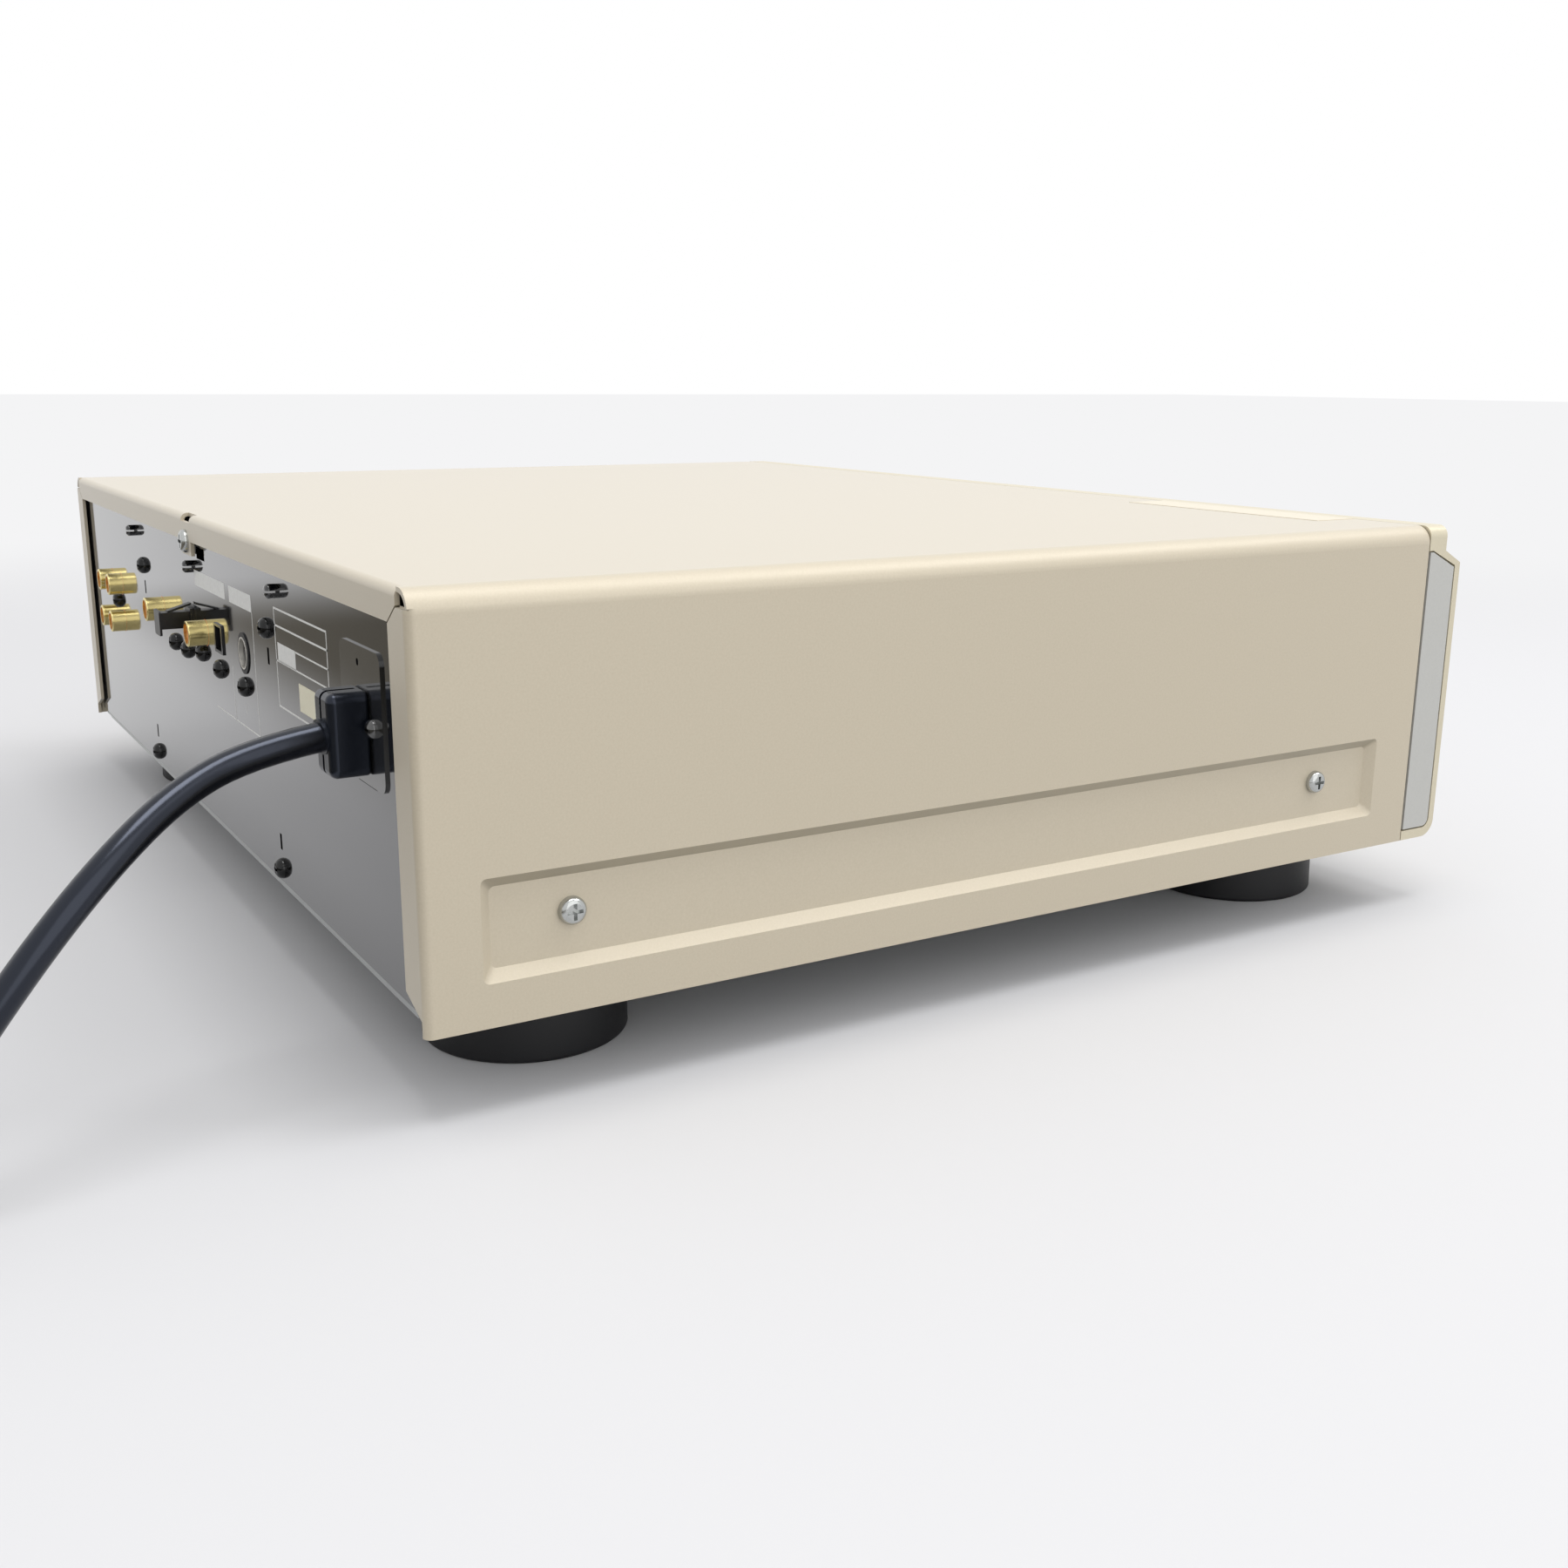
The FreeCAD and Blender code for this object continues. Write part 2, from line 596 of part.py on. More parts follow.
def push_button(button):
    x, height, wide, tall = button
    z = case_bottom + height
    cap = block(around(x, wide / 2), (face - button_proud, wall_back + button_rest_gap),
                around(z, tall / 2))
    cap = soften(cap, 1.5, Y_AXIS)
    rear = wall_back + button_rest_gap + button_flange
    flange = block(around(x, wide / 2 + 1.5), (rear - button_flange, rear), around(z, tall / 2 + 1.5))
    stem_end = board_front - switch_depth - button_travel - button_rest_gap
    stem = rod(stem_radius, (x, rear - 0.5, z), (x, stem_end, z))
    return join(cap, flange, stem)


def knob(place, back=None):
    """A knob with a pointer groove and a rounded front edge."""
    x, height, radius, length = place
    z = case_bottom + height
    start = face - knob_gap if back is None else back
    end = face - length
    body = rod(radius, (x, start, z), (x, end, z))
    rims = [e for e in body.Edges if isinstance(e.Curve, Part.Circle)
            and abs(e.Curve.Center.y - end) < 0.1]
    body = body.makeFillet(1.0, rims)
    groove = block(around(x, 0.5), (end - 1, end + 0.8), (z + 0.35 * radius, z + radius + 1))
    return carve(body, groove)


def make_controls():
    names = ("power_button", "eject_button", "play_button", "pause_button", "stop_button",
             "record_button")
    for name, button in zip(names, all_buttons()):
        save(name, push_button(button))
    for name, place in (("record_level_knob", record_knob), ("phones_level_knob", phones_knob),
                        ("input_knob", input_knob)):
        x, z = place[0], case_bottom + place[1]
        shaft = rod(shaft_radius, (x, face - 2, z), (x, board_front - 0.5, z))
        save(name, join(knob(place), shaft))
    x, height, _, length = jog_knob
    z = case_bottom + height
    back = face - knob_gap - button_travel
    shaft_tip = face - length + 4.0
    bore = rod(shaft_radius + shaft_clearance, (x, back + 1, z), (x, shaft_tip - 0.2, z))
    save("jog_knob", carve(knob(jog_knob, back), bore))
    stem_end = board_front - button_travel - button_rest_gap
    shaft = rod(shaft_radius, (x, shaft_tip, z), (x, stem_end, z))
    collar = rod(shaft_radius + 1.5, (x, wall_back + button_rest_gap, z),
                 (x, wall_back + button_rest_gap + button_flange, z))
    save("jog_shaft", join(shaft, collar))
    x, height, wide, tall = timer_switch
    z = case_bottom + height
    cap = block(around(x, wide / 2), (face - button_proud, wall_back + button_rest_gap),
                around(z, tall / 2))
    slide = block(around(x, wide / 2 + 2 * timer_travel), around(wall_back + 0.6, 0.5),
                  around(z, tall / 2 + 2))
    save("timer_switch", join(cap, slide))


def jack_window(start, end):
    """A square opening that clears the phones socket's body."""
    reach = phones_nut_radius + jack_window_gap
    return block(around(phones_jack[0], reach), (start, end),
                 around(case_bottom + phones_jack[1], reach))


def make_display_board():
    room = half - panel_end - fold_gap
    low, high = case_bottom + panel_wall + 0.5, case_top - ledge_drop - panel_wall - 5
    board = block((-room, room), (board_front, board_back), (low, high))
    ears = [block(around(side * (room - 3), 3), (board_back, front), around(z, 4))
            for side in (-1, 1) for z in (low + board_ear_low, high - board_ear_high)]
    switches = []
    for x, height, _, _ in all_buttons():
        switches.append(block(around(x, switch_size / 2),
                              (board_front - switch_depth, board_front),
                              around(case_bottom + height, switch_size / 2)))
    pots, bores = [], []
    for x, height, _, _ in all_knobs():
        z = case_bottom + height
        pots.append(block(around(x, pot_size / 2), (board_front - pot_depth, board_front),
                          around(z, pot_size / 2)))
        bores.append(rod(shaft_radius + shaft_clearance, (x, board_front - pot_depth - 1, z),
                         (x, board_front, z)))
    path = slot_opening(board_front - 1, board_back + 1)
    notch = block((-half, phones_jack[0] + board_notch), (board_front - 1, front + 1),
                  (case_bottom, case_bottom + phones_jack[1] + board_notch))
    save("display_board", carve(join(board, *ears, *switches, *pots), path, notch, *bores))
    z = case_bottom + window_height
    pane = block(around(0, window_width / 2), (face, face + window_thickness),
                 around(z, window_tall / 2))
    save("display_window", soften(pane, 0.6, Y_AXIS))
    save("display_tube", block(around(0, window_width / 2 - window_rim - 4),
                               (board_front - tube_thickness, board_front),
                               around(z, window_tall / 2 - 1)))


def make_phones_jack():
    x, z = phones_jack[0], case_bottom + phones_jack[1]
    barrel = rod(phones_nut_radius - 1.6, (x, face - 1.5, z), (x, wall_back + 1, z))
    nut = rod(phones_nut_radius, (x, face - 1.5, z), (x, face, z))
    body = block(around(x, phones_nut_radius), (wall_back, face + phones_depth),
                 around(z, phones_nut_radius))
    body = soften(body, 1.0, Y_AXIS)
    bore = rod(phones_bore, (x, face - 3, z), (x, face + phones_depth - 2, z))
    save("phones_jack", carve(join(barrel, nut, body), bore))


def flap_pivot():
    """Y and Z of the disc flap's hinge line."""
    return (face + 0.6 + flap_thickness / 2, slot_z + slot_above - flap_pivot_below_top)


def make_disc_flap():
    y, z = flap_pivot()
    reach = cartridge_width / 2 + slot_side_gap
    leaf = block(around(0, reach - 0.4), around(y, flap_thickness / 2),
                 (slot_z - slot_below + 0.3, z))
    barrel = rod(flap_thickness / 2, (-reach + 0.4, y, z), (reach - 0.4, y, z))
    pins = rod(flap_pin, (-reach - 1.8, y, z), (reach + 1.8, y, z))
    save("disc_flap", join(leaf, barrel, pins))


def make_front_subframe():
    top = case_top - cover_sheet - fold_gap
    wall = block(around(0, bulge - fold_gap), (front, subframe_back), (plate_top, top))
    shelf = block(around(0, half - 14), (front, front + 12), (top - chassis_sheet, top))
    path = slot_opening(front - 1, subframe_back + 1)
    jack = jack_window(front - 1, subframe_back + 1)
    lights = [block(around(side * place * half, light_half), (front - 1, subframe_back + 1),
                    around(case_bottom + window_height, 16))
              for side in (-1, 1) for place in (0.3, 0.6)]
    save("front_subframe", carve(join(wall, shelf), path, jack, *lights))


# ---- disc mechanism ----
def pin_places():
    return [(mouth + row, slot_z) for row in pin_rows]


def drop_slot(y, z, radius, x, slide):
    """The hole that a holder pin sweeps while it drops and the plate moves by `slide`."""
    ends = [(y, z), (y - slide, z - holder_drop)]
    tubes = [rod(radius, (x[0], a, b), (x[1], a, b)) for a, b in ends]
    run = V(0, ends[1][0] - y, -holder_drop)
    across = run.cross(X_AXIS).normalize() * radius
    corners = [V(x[0], y, z) + across, V(x[0], y, z) - across,
               V(x[0], y, z) - across + run, V(x[0], y, z) + across + run]
    return tubes[0].fuse([tubes[1], prism([tuple(c) for c in corners], (x[1] - x[0], 0, 0))])


def post(x, y, thick=post_thick):
    return block((x, x + thick), around(y, 2.2),
                 (deck_top - 0.5, case_bottom + rod_height + rod_radius + 1.2))


def make_mechanism_frame():
    length = (front + 8, front + 8 + frame_length)
    outer = frame_half + frame_sheet
    wall = block((frame_half, outer), length, (plate_top, slot_z + 6))
    tread = block((frame_half, outer + foot_flange), length, (plate_top, plate_top + frame_sheet))
    deck = block(around(0, frame_half + 0.5), length, (deck_top - chassis_sheet, deck_top))
    slots = [drop_slot(y, z, pin_radius + pin_clearance, (frame_half - 1, outer + 1), 0.0)
             for y, z in pin_places()]
    side = carve(join(wall, tread), *slots)
    axis = case_bottom + rod_height
    posts = [post(5.6, hub_y + s * rod_offset) for s in (-1, 1)]
    posts += [post(6.4, hub_y + lead_offset), post(lead_post_x, hub_y + lead_offset)]
    bores = [rod(rod_radius + 0.02, (4, hub_y + s * rod_offset, axis),
                 (10, hub_y + s * rod_offset, axis)) for s in (-1, 1)]
    bores.append(rod(lead_radius + bearing_clearance, (4, hub_y + lead_offset, axis),
                     (lead_post_x + post_thick + 1, hub_y + lead_offset, axis)))
    save("mechanism_frame", carve(join(side, mirrored(side), deck, *posts), *bores))


def make_disc_holder():
    outer_half, outer_rise = holder_half + holder_sheet, holder_rise + holder_sheet
    body = block(around(0, outer_half), (mouth, holder_end), around(slot_z, outer_rise))
    room = block(around(0, holder_half), (mouth - 1, holder_end - holder_sheet),
                 around(slot_z, holder_rise))
    hub_window = block((-turntable_radius - 2, frame_half), around(hub_y, lead_offset + 3),
                       (slot_z - outer_rise - 1, slot_z - holder_rise + 0.5))
    top_window = block(around(0, 16), around(hub_y, 12), (slot_z, slot_z + outer_rise + 1))
    pins = [rod(pin_radius, (s * (holder_half + 0.4), y, z), (s * (frame_half + frame_sheet), y, z))
            for s in (-1, 1) for y, z in pin_places()]
    hub_window = hub_window.common(block(around(0, holder_half - 2), (mouth, holder_end),
                                         (case_bottom, case_top)))
    save("disc_holder", join(carve(body, room, hub_window, top_window), *pins))


def make_cam_slider():
    slide = cam_slope * holder_drop
    x = (frame_half - 0.1 - frame_sheet, frame_half - 0.1)
    plate = block(x, (mouth + 2, mouth + pin_rows[1] + 8), (slot_z - 10, slot_z + 5))
    slots = [drop_slot(y, z, pin_radius + pin_clearance, (x[0] - 1, x[1] + 1), slide)
             for y, z in pin_places()]
    save("cam_slider", carve(plate, *slots))


def make_spindle():
    low_disc = slot_z - holder_drop - cartridge_thickness / 2
    top = low_disc + turntable_above_lowered
    motor = rod(motor_radius, (0, hub_y, deck_top), (0, hub_y, deck_top + motor_tall))
    bore = rod(spindle_radius + bearing_clearance, (0, hub_y, deck_top + 0.9),
               (0, hub_y, deck_top + motor_tall + 1))
    save("spindle_motor", carve(motor, bore))
    table = rod(turntable_radius, (0, hub_y, top - turntable_thick), (0, hub_y, top))
    nose = Part.makeCone(2.0, 1.4, 0.8, V(0, hub_y, top))
    shaft = rod(spindle_radius, (0, hub_y, deck_top + 1), (0, hub_y, top))
    key = block(around(4.6, 0.9), around(hub_y, 0.6), (top - 0.1, top + 0.4))
    save("spindle", join(table, nose, shaft, key))


def make_pickup():
    axis = case_bottom + rod_height
    x = (sled_start, sled_start + sled_length)
    sled = block(x, (hub_y - rod_offset - 3, hub_y + lead_offset + 3),
                 around(axis, sled_thick / 2))
    middle = sum(x) / 2
    lens = rod(lens_radius, (middle, hub_y, axis), (middle, hub_y, axis + sled_thick / 2 + lens_tall))
    bores = [rod(rod_radius + bearing_clearance, (x[0] - 1, hub_y + s * rod_offset, axis),
                 (x[1] + 1, hub_y + s * rod_offset, axis)) for s in (-1, 1)]
    bores.append(rod(lead_radius + bearing_clearance, (x[0] - 1, hub_y + lead_offset, axis),
                     (x[1] + 1, hub_y + lead_offset, axis)))
    save("pickup", carve(join(sled, lens), *bores))
    save("guide_rods", *[rod(rod_radius, (5.6, hub_y + s * rod_offset, axis),
                             (frame_half, hub_y + s * rod_offset, axis)) for s in (-1, 1)])
    y = hub_y + lead_offset
    gear_start = lead_post_x + post_thick + 0.2
    save("lead_screw", join(rod(lead_radius, (6.4, y, axis), (frame_half - 0.1, y, axis)),
                            rod(lead_gear_radius, (gear_start, y, axis), (frame_half - 0.4, y, axis))))


def make_loading_motor():
    long, wide, tall = loading_motor_size
    y = holder_end + 6 + wide / 2
    x = loading_motor_from_wall - frame_half
    body = soften(block((x, x + long), around(y, wide / 2), (deck_top, deck_top + tall)),
                  2.0, X_AXIS)
    z = deck_top + tall / 2
    pulley = rod(2.6, (x + long - 1, y, z), (x + long + 9, y, z))
    save("loading_motor", join(body, pulley))


# ---- electronics ----
def board_slab(place):
    x_low, x_high, y_low, y_high = place
    z = plate_top + standoff_tall
    return block((x_low, x_high), (front + y_low, front + y_high), (z, z + board_thick))


def make_boards():
    top = plate_top + standoff_tall + board_thick
    x_low, x_high, y_low, y_high = main_board
    columns, rows = 3, 4
    chips = []
    for column in range(columns):
        for row in range(rows):
            x = x_low + (column + 0.7) * (x_high - x_low) / columns
            y = front + y_low + (row + 0.6) * (y_high - y_low) / rows
            chip = large_chip if (column + row) % 2 else small_chip
            chips.append(block(around(x, chip), around(y, chip), (top - 0.2, top + chip_tall)))
    save("main_board", join(board_slab(main_board), *chips))
    x_low, x_high, y_low, y_high = power_board
    sink_y, sink_z = front + y_high - heat_sink_from_end, (top - 0.2, top + heat_sink_tall)
    sink = block((x_low + fin_pitch, x_high - fin_pitch), around(sink_y, 1.5), sink_z)
    count = int((x_high - x_low) / fin_pitch) - 2
    fins = [block(around(x_low + fin_pitch * (n + 1.5), 0.8), around(sink_y, fin_depth),
                  (top + 2, sink_z[1])) for n in range(count)]
    save("power_board", join(board_slab(power_board), sink, *fins))
    spots = [x_low + capacitor_first + capacitor_pitch * n for n in range(4)]
    y = front + y_low + capacitor_row
    save("capacitors", *[rod(capacitor_radius, (x, y, top), (x, y, top + capacitor_tall))
                         for x in spots])


def make_transformer():
    x, y = transformer_from_side - half, front + transformer_row
    long, deep, tall = transformer_size
    core = block(around(x, long / 2), around(y, deep / 4), (plate_top, plate_top + tall))
    winding = soften(block(around(x, long / 3), around(y, deep / 2), (plate_top + 8, plate_top + tall - 8)),
                     4.0, Z_AXIS)
    lugs = block(around(x, long / 2 + 9), around(y, 8), (plate_top, plate_top + 2))
    save("transformer", join(core, winding, lugs))


# ---- rear panel and sockets ----
def inlet_screw_places():
    return [(inlet_x + side * inlet_screw_pitch, inlet_z + inlet_screw_rise) for side in (-1, 1)]


def line_jack_places():
    return [(x, height) for height in line_rows for x in line_columns]


def make_rear_panel(cover_screw_z):
    low, top = case_bottom + rear_panel_lift, case_top - cover_sheet - fold_gap
    side = bulge - chassis_sheet - 2 * fold_gap
    panel = block((-side, side), (rear_inner, rear_face), (low, top))
    fold = block((side - rear_sheet, side), (rear_face - 12, rear_inner + 0.5),
                 (low + 16, top - 3))
    panel = join(panel, fold, mirrored(fold))
    holes = [screw_hole(place, (0, 1, 0), 2 * rear_sheet) for place in rear_screw_places()]
    holes.append(screw_hole((0, rear_face, cover_screw_z), (0, 1, 0), 2 * rear_sheet))
    through = (rear_inner - 1, rear_face + 1)
    for x, height in line_jack_places() + list(coax_jacks):
        z = case_bottom + height
        holes.append(rod(jack_radius + jack_ring, (x, through[0], z), (x, through[1], z)))
    for x, height in optical_sockets:
        holes.append(block(around(x, optical_width / 2), through,
                           around(case_bottom + height, optical_tall / 2)))
    x, height = din_place
    z = case_bottom + height
    holes.append(rod(din_radius, (x, through[0], z), (x, through[1], z)))
    for side_x in (-rear_screw_x, rear_screw_x):
        for height in (rear_screw_high - slot_hole_shift, rear_screw_low + slot_hole_shift):
            holes.append(block(around(side_x, slot_hole[0]), through,
                               around(case_bottom + height, slot_hole[1])))
    for x, height in rivets:
        z = case_bottom + height
        holes.append(rod(rivet_radius, (x, through[0], z), (x, through[1], z)))
    x, half_wide, height = rear_window
    holes.append(block((x - half_wide, x + half_wide - 3), through,
                       (case_bottom + height, case_bottom + height + 3.8)))
    wide, tall, _ = inlet_body
    holes.append(block(around(inlet_x, wide / 2 + 0.1), through, around(inlet_z, tall / 2 + 0.1)))
    holes += [screw_hole((x, rear_face, z), (0, 1, 0), 2 * rear_sheet)
              for x, z in inlet_screw_places()]
    save("rear_panel", carve(panel, *holes))


def make_rivets():
    rivet_solids = []
    for x, height in rivets:
        z = case_bottom + height
        pin = rod(rivet_radius, (x, rear_inner - 2, z), (x, rear_face + rivet_proud, z))
        rims = [e for e in pin.Edges if isinstance(e.Curve, Part.Circle)
                and e.Curve.Center.y > rear_face + 1]
        pin = pin.makeFillet(1.2, rims)
        split = block(around(x, rivet_radius + 1), (rear_face + 0.6, rear_face + 9), around(z, 0.3))
        head = rod(rivet_radius + 2, (x, rear_inner - 2, z), (x, rear_inner, z))
        rivet_solids.append(carve(join(pin, head), split))
    save("snap_rivets", *rivet_solids)


def jack_shell(x, height, proud):
    z = case_bottom + height
    start, end = rear_inner - jack_seat, rear_face + proud
    tube = rod(jack_radius, (x, rear_face, z), (x, end, z))
    rims = [e for e in tube.Edges if isinstance(e.Curve, Part.Circle)
            and e.Curve.Center.y > end - 0.1]
    seat = rod(jack_seat_radius, (x, start, z), (x, rear_face + 1, z))
    tube = join(tube.makeFillet(0.4, rims), seat)
    return carve(tube, rod(jack_bore, (x, start - 1, z), (x, end + 1, z)))


def jack_insulator(x, height, proud):
    z = case_bottom + height
    back = rear_inner - jack_block_depth
    body = block(around(x, jack_block / 2), (back, rear_inner), around(z, jack_block / 2))
    ring = rod(jack_radius + jack_ring, (x, rear_inner - 0.5, z), (x, rear_face, z))
    seat = rod(jack_seat_radius, (x, rear_inner - jack_seat, z), (x, rear_face + 2, z))
    core = rod(jack_bore, (x, rear_inner - jack_seat - 0.5, z),
               (x, rear_face + proud - jack_face_inset, z))
    contact = rod(jack_pin_radius, (x, rear_inner - 6, z), (x, rear_face + proud + 1, z))
    return carve(join(carve(join(body, ring), seat), core), contact)


def make_jacks():
    line = [(x, height, line_proud) for x, height in line_jack_places()]
    coax = [(x, height, coax_proud) for x, height in coax_jacks]
    save("line_jacks", *[jack_shell(*jack) for jack in line])
    save("coax_jacks", *[jack_shell(*jack) for jack in coax])
    save("jack_insulators", *[jack_insulator(*jack) for jack in line + coax])


def make_optical():
    sockets = []
    for x, height in optical_sockets:
        z = case_bottom + height
        body = block(around(x, optical_width / 2 + 1), (rear_inner - optical_depth, rear_inner),
                     around(z, optical_tall / 2 + 0.8))
        bezel = block(around(x, optical_width / 2), (rear_inner - 0.5, rear_face + optical_proud),
                      around(z, optical_tall / 2))
        bezel = soften(bezel, 1.0, Y_AXIS, lambda e: e.CenterOfMass.z > z)
        mouth_end = rear_face + optical_proud
        bore = block(around(x, optical_bore / 2), (mouth_end - optical_bore_depth, mouth_end + 1),
                     around(z, optical_bore / 2))
        emitter = rod(1.4, (x, mouth_end - optical_bore_depth - 0.5, z), (x, mouth_end - 3.0, z))
        light = rod(0.6, (x, mouth_end - 3.6, z), (x, mouth_end - 2.0, z))
        sockets.append(carve(join(carve(join(body, bezel), bore), emitter), light))
    save("optical_sockets", *sockets)
    x, z = optical_sockets[0][0], case_bottom + optical_sockets[0][1]
    seat = rear_face + optical_proud
    end = rear_face + cap_reach
    fit = optical_bore / 2 - cap_fit
    nose = block(around(x, fit), (seat - 2.4, seat), around(z, fit))
    collar = block(around(x, optical_width / 2 - 0.8), (seat, seat + 1.2),
                   around(z, optical_tall / 2 - 0.8))
    neck = block(around(x, cap_neck / 2), (seat, end), around(z, cap_neck / 2))
    flare = block(around(x, cap_plate / 2), (end - cap_plate_thick, end),
                  around(z - cap_plate_drop, cap_plate / 2))
    flare = soften(flare, 0.8, Y_AXIS)
    top, outer = z + cap_neck / 2, end - cap_strap_back
    strap = prism([(x - cap_strap_half, outer, top - 0.3), (x - cap_strap_half, outer, top + 0.4),
                   (x - cap_strap_half, seat + 0.2, top + cap_strap_rise + 0.7),
                   (x - cap_strap_half, seat + 0.2, top + cap_strap_rise)],
                  (2 * cap_strap_half, 0, 0))
    save("optical_cap", join(nose, collar, neck, flare, strap))


def make_keyboard_jack():
    x, z = din_place[0], case_bottom + din_place[1]
    end = rear_face + din_proud
    surround = rod(din_radius, (x, rear_inner - din_depth, z), (x, end, z))
    moat = rod(din_shield, (x, rear_face - 5, z), (x, end + 1, z))
    core = rod(din_shield - din_shield_thick - 0.5, (x, rear_face - 6, z), (x, end - 1.2, z))
    pins = []
    for angle in (20, 65, 115, 160, 245, 295):
        a = math.radians(angle)
        px, pz = x + 2.7 * math.cos(a), z + 2.7 * math.sin(a)
        pins.append(rod(0.55, (px, rear_face - 3, pz), (px, end + 1, pz)))
    key = block(around(x, 0.9), (rear_face - 3, end + 1), around(z - 0.6, 0.6))
    save("keyboard_jack", carve(join(carve(surround, moat), core), key, *pins))
    ring = rod(din_shield, (x, rear_face - 5, z), (x, end + 0.2, z))
    bore = rod(din_shield - din_shield_thick, (x, rear_face - 6, z), (x, end + 1, z))
    save("jack_shield", carve(ring, bore))


def box_about(x, z, size, y):
    return block(around(x, size[0] / 2), y, around(z, size[1] / 2))


def make_inlet():
    wide, tall, thick = inlet_plate_size
    plate = block(around(inlet_x, wide / 2), (rear_face, plate_face),
                  around(inlet_z + inlet_plate_rise, tall / 2))
    plate = soften(plate, 3.0, Y_AXIS)
    gap = plug_clearance
    nose = (plug_nose[0] + 2 * gap, plug_nose[1] + 2 * gap)
    nose_hole = soften(box_about(inlet_x, inlet_z, nose, (rear_face - 1, plate_face + 1)), 2.0, Y_AXIS)
    holes = [screw_hole((x, plate_face, z), (0, 1, 0), 2 * thick) for x, z in inlet_screw_places()]
    across, above, radius = inlet_mark
    mark = rod(radius, (inlet_x + across, rear_face - 1, inlet_z + above),
               (inlet_x + across, plate_face + 1, inlet_z + above))
    save("inlet_plate", carve(plate, nose_hole, mark, *holes))
    save("inlet_screws", *[screw((x, plate_face, z), (0, 1, 0), inlet_screw_head, dome=0.9)
                           for x, z in inlet_screw_places()])
    back = rear_face - inlet_body[2]
    body = box_about(inlet_x, inlet_z, inlet_body, (back, rear_face))
    floor = plate_face - plug_nose[2] - gap
    well = soften(box_about(inlet_x, inlet_z, nose, (floor, rear_face + 1)), 2.0, Y_AXIS)
    pins = [rod(inlet_pin_radius, (inlet_x, floor - 0.5, inlet_z + s * inlet_pin_pitch / 2),
                (inlet_x, floor + inlet_pin_length, inlet_z + s * inlet_pin_pitch / 2)) for s in (-1, 1)]
    tails = [block(around(inlet_x, 1.6), (back - 6, back + 0.5),
                   around(inlet_z + s * inlet_pin_pitch / 2, 0.4)) for s in (-1, 1)]
    save("mains_inlet", join(carve(body, well), *pins, *tails))
    body = soften(box_about(inlet_x, inlet_z, plug_size, (plate_face, plug_end)), plug_edge, Y_AXIS)
    for y, radius in ((plug_end, plug_end_edge), (plate_face, plug_inner_edge)):
        body = body.makeFillet(radius, [e for e in body.Edges if abs(e.CenterOfMass.y - y) < 0.01])
    way_out = (V(*cord_route[1]) - V(*cord_exit)).normalize()
    collar = rod(cord_radius + plug_collar_wall, V(*cord_exit) - way_out * (plug_collar + 1.2),
                 V(*cord_exit))
    groove = box_about(inlet_x, inlet_z, (plug_groove, plug_size[1] + 1),
                       (plate_face + 1.5, plug_end + 1))
    core = box_about(inlet_x, inlet_z, (2 * plug_groove, plug_size[1] - 2 * plug_groove_deep),
                     (plate_face, plug_end - plug_groove_deep))
    groove = carve(groove, core)
    nose_box = soften(box_about(inlet_x, inlet_z, plug_nose, (plate_face - plug_nose[2], plate_face)),
                      1.8, Y_AXIS)
    sockets = [rod(inlet_pin_radius + 0.1,
                   (inlet_x, floor - 1, inlet_z + s * inlet_pin_pitch / 2),
                   (inlet_x, floor + inlet_pin_length + 0.3, inlet_z + s * inlet_pin_pitch / 2))
               for s in (-1, 1)]
    save("cord_connector", carve(join(carve(body, groove), nose_box, collar), *sockets))


def make_labels():
    x, z = serial_label_place[0], case_bottom + serial_label_place[1]
    save("serial_label", box_about(x, z, serial_label_size, (rear_face, rear_face + label_thick)))
    start = top_label_from_side - half
    save("top_label", block((start, start + top_label_width),
                            (front + top_label_depth[0], front + top_label_depth[1]),
                            (case_top, case_top + label_thick)))


# ---- mains cord ----
def bent_path(points):
    """Straight runs joined by tangent arcs that are as large as the runs allow."""
    points = [V(*point) for point in points]
    edges, last, radii = [], points[0], []
    for before, corner, after in zip(points, points[1:], points[2:]):
        into, out = (corner - before), (after - corner)
        reach = 0.45 * min(into.Length, out.Length)
        into.normalize()
        out.normalize()
        half_turn = math.acos(max(-1.0, min(1.0, into.dot(out)))) / 2
        radius = reach / math.tan(half_turn)
        start, end = corner - into * reach, corner + out * reach
        inward = (out - into).normalize()
        middle = corner + inward * (radius / math.cos(half_turn) - radius)
        edges.append(Part.LineSegment(last, start).toShape())
        edges.append(Part.Arc(start, middle, end).toShape())
        last = end
        radii.append(radius)
    edges.append(Part.LineSegment(last, points[-1]).toShape())
    return Part.Wire(edges), radii


def cord_tube(name, points):
    path, radii = bent_path(points)
    run = V(*points[1]) - V(*points[0])
    ring = Part.Wire([Part.Circle(V(*points[0]), run, cord_radius).toShape()])
    tube = path.makePipeShell([ring], True, True)
    ideal = math.pi * cord_radius ** 2 * path.Length
    print("%s: length %.1f, radii %s, volume over ideal %.4f"
          % (name, path.Length, ["%.0f" % r for r in radii], tube.Volume / ideal))
    save(name, tube)


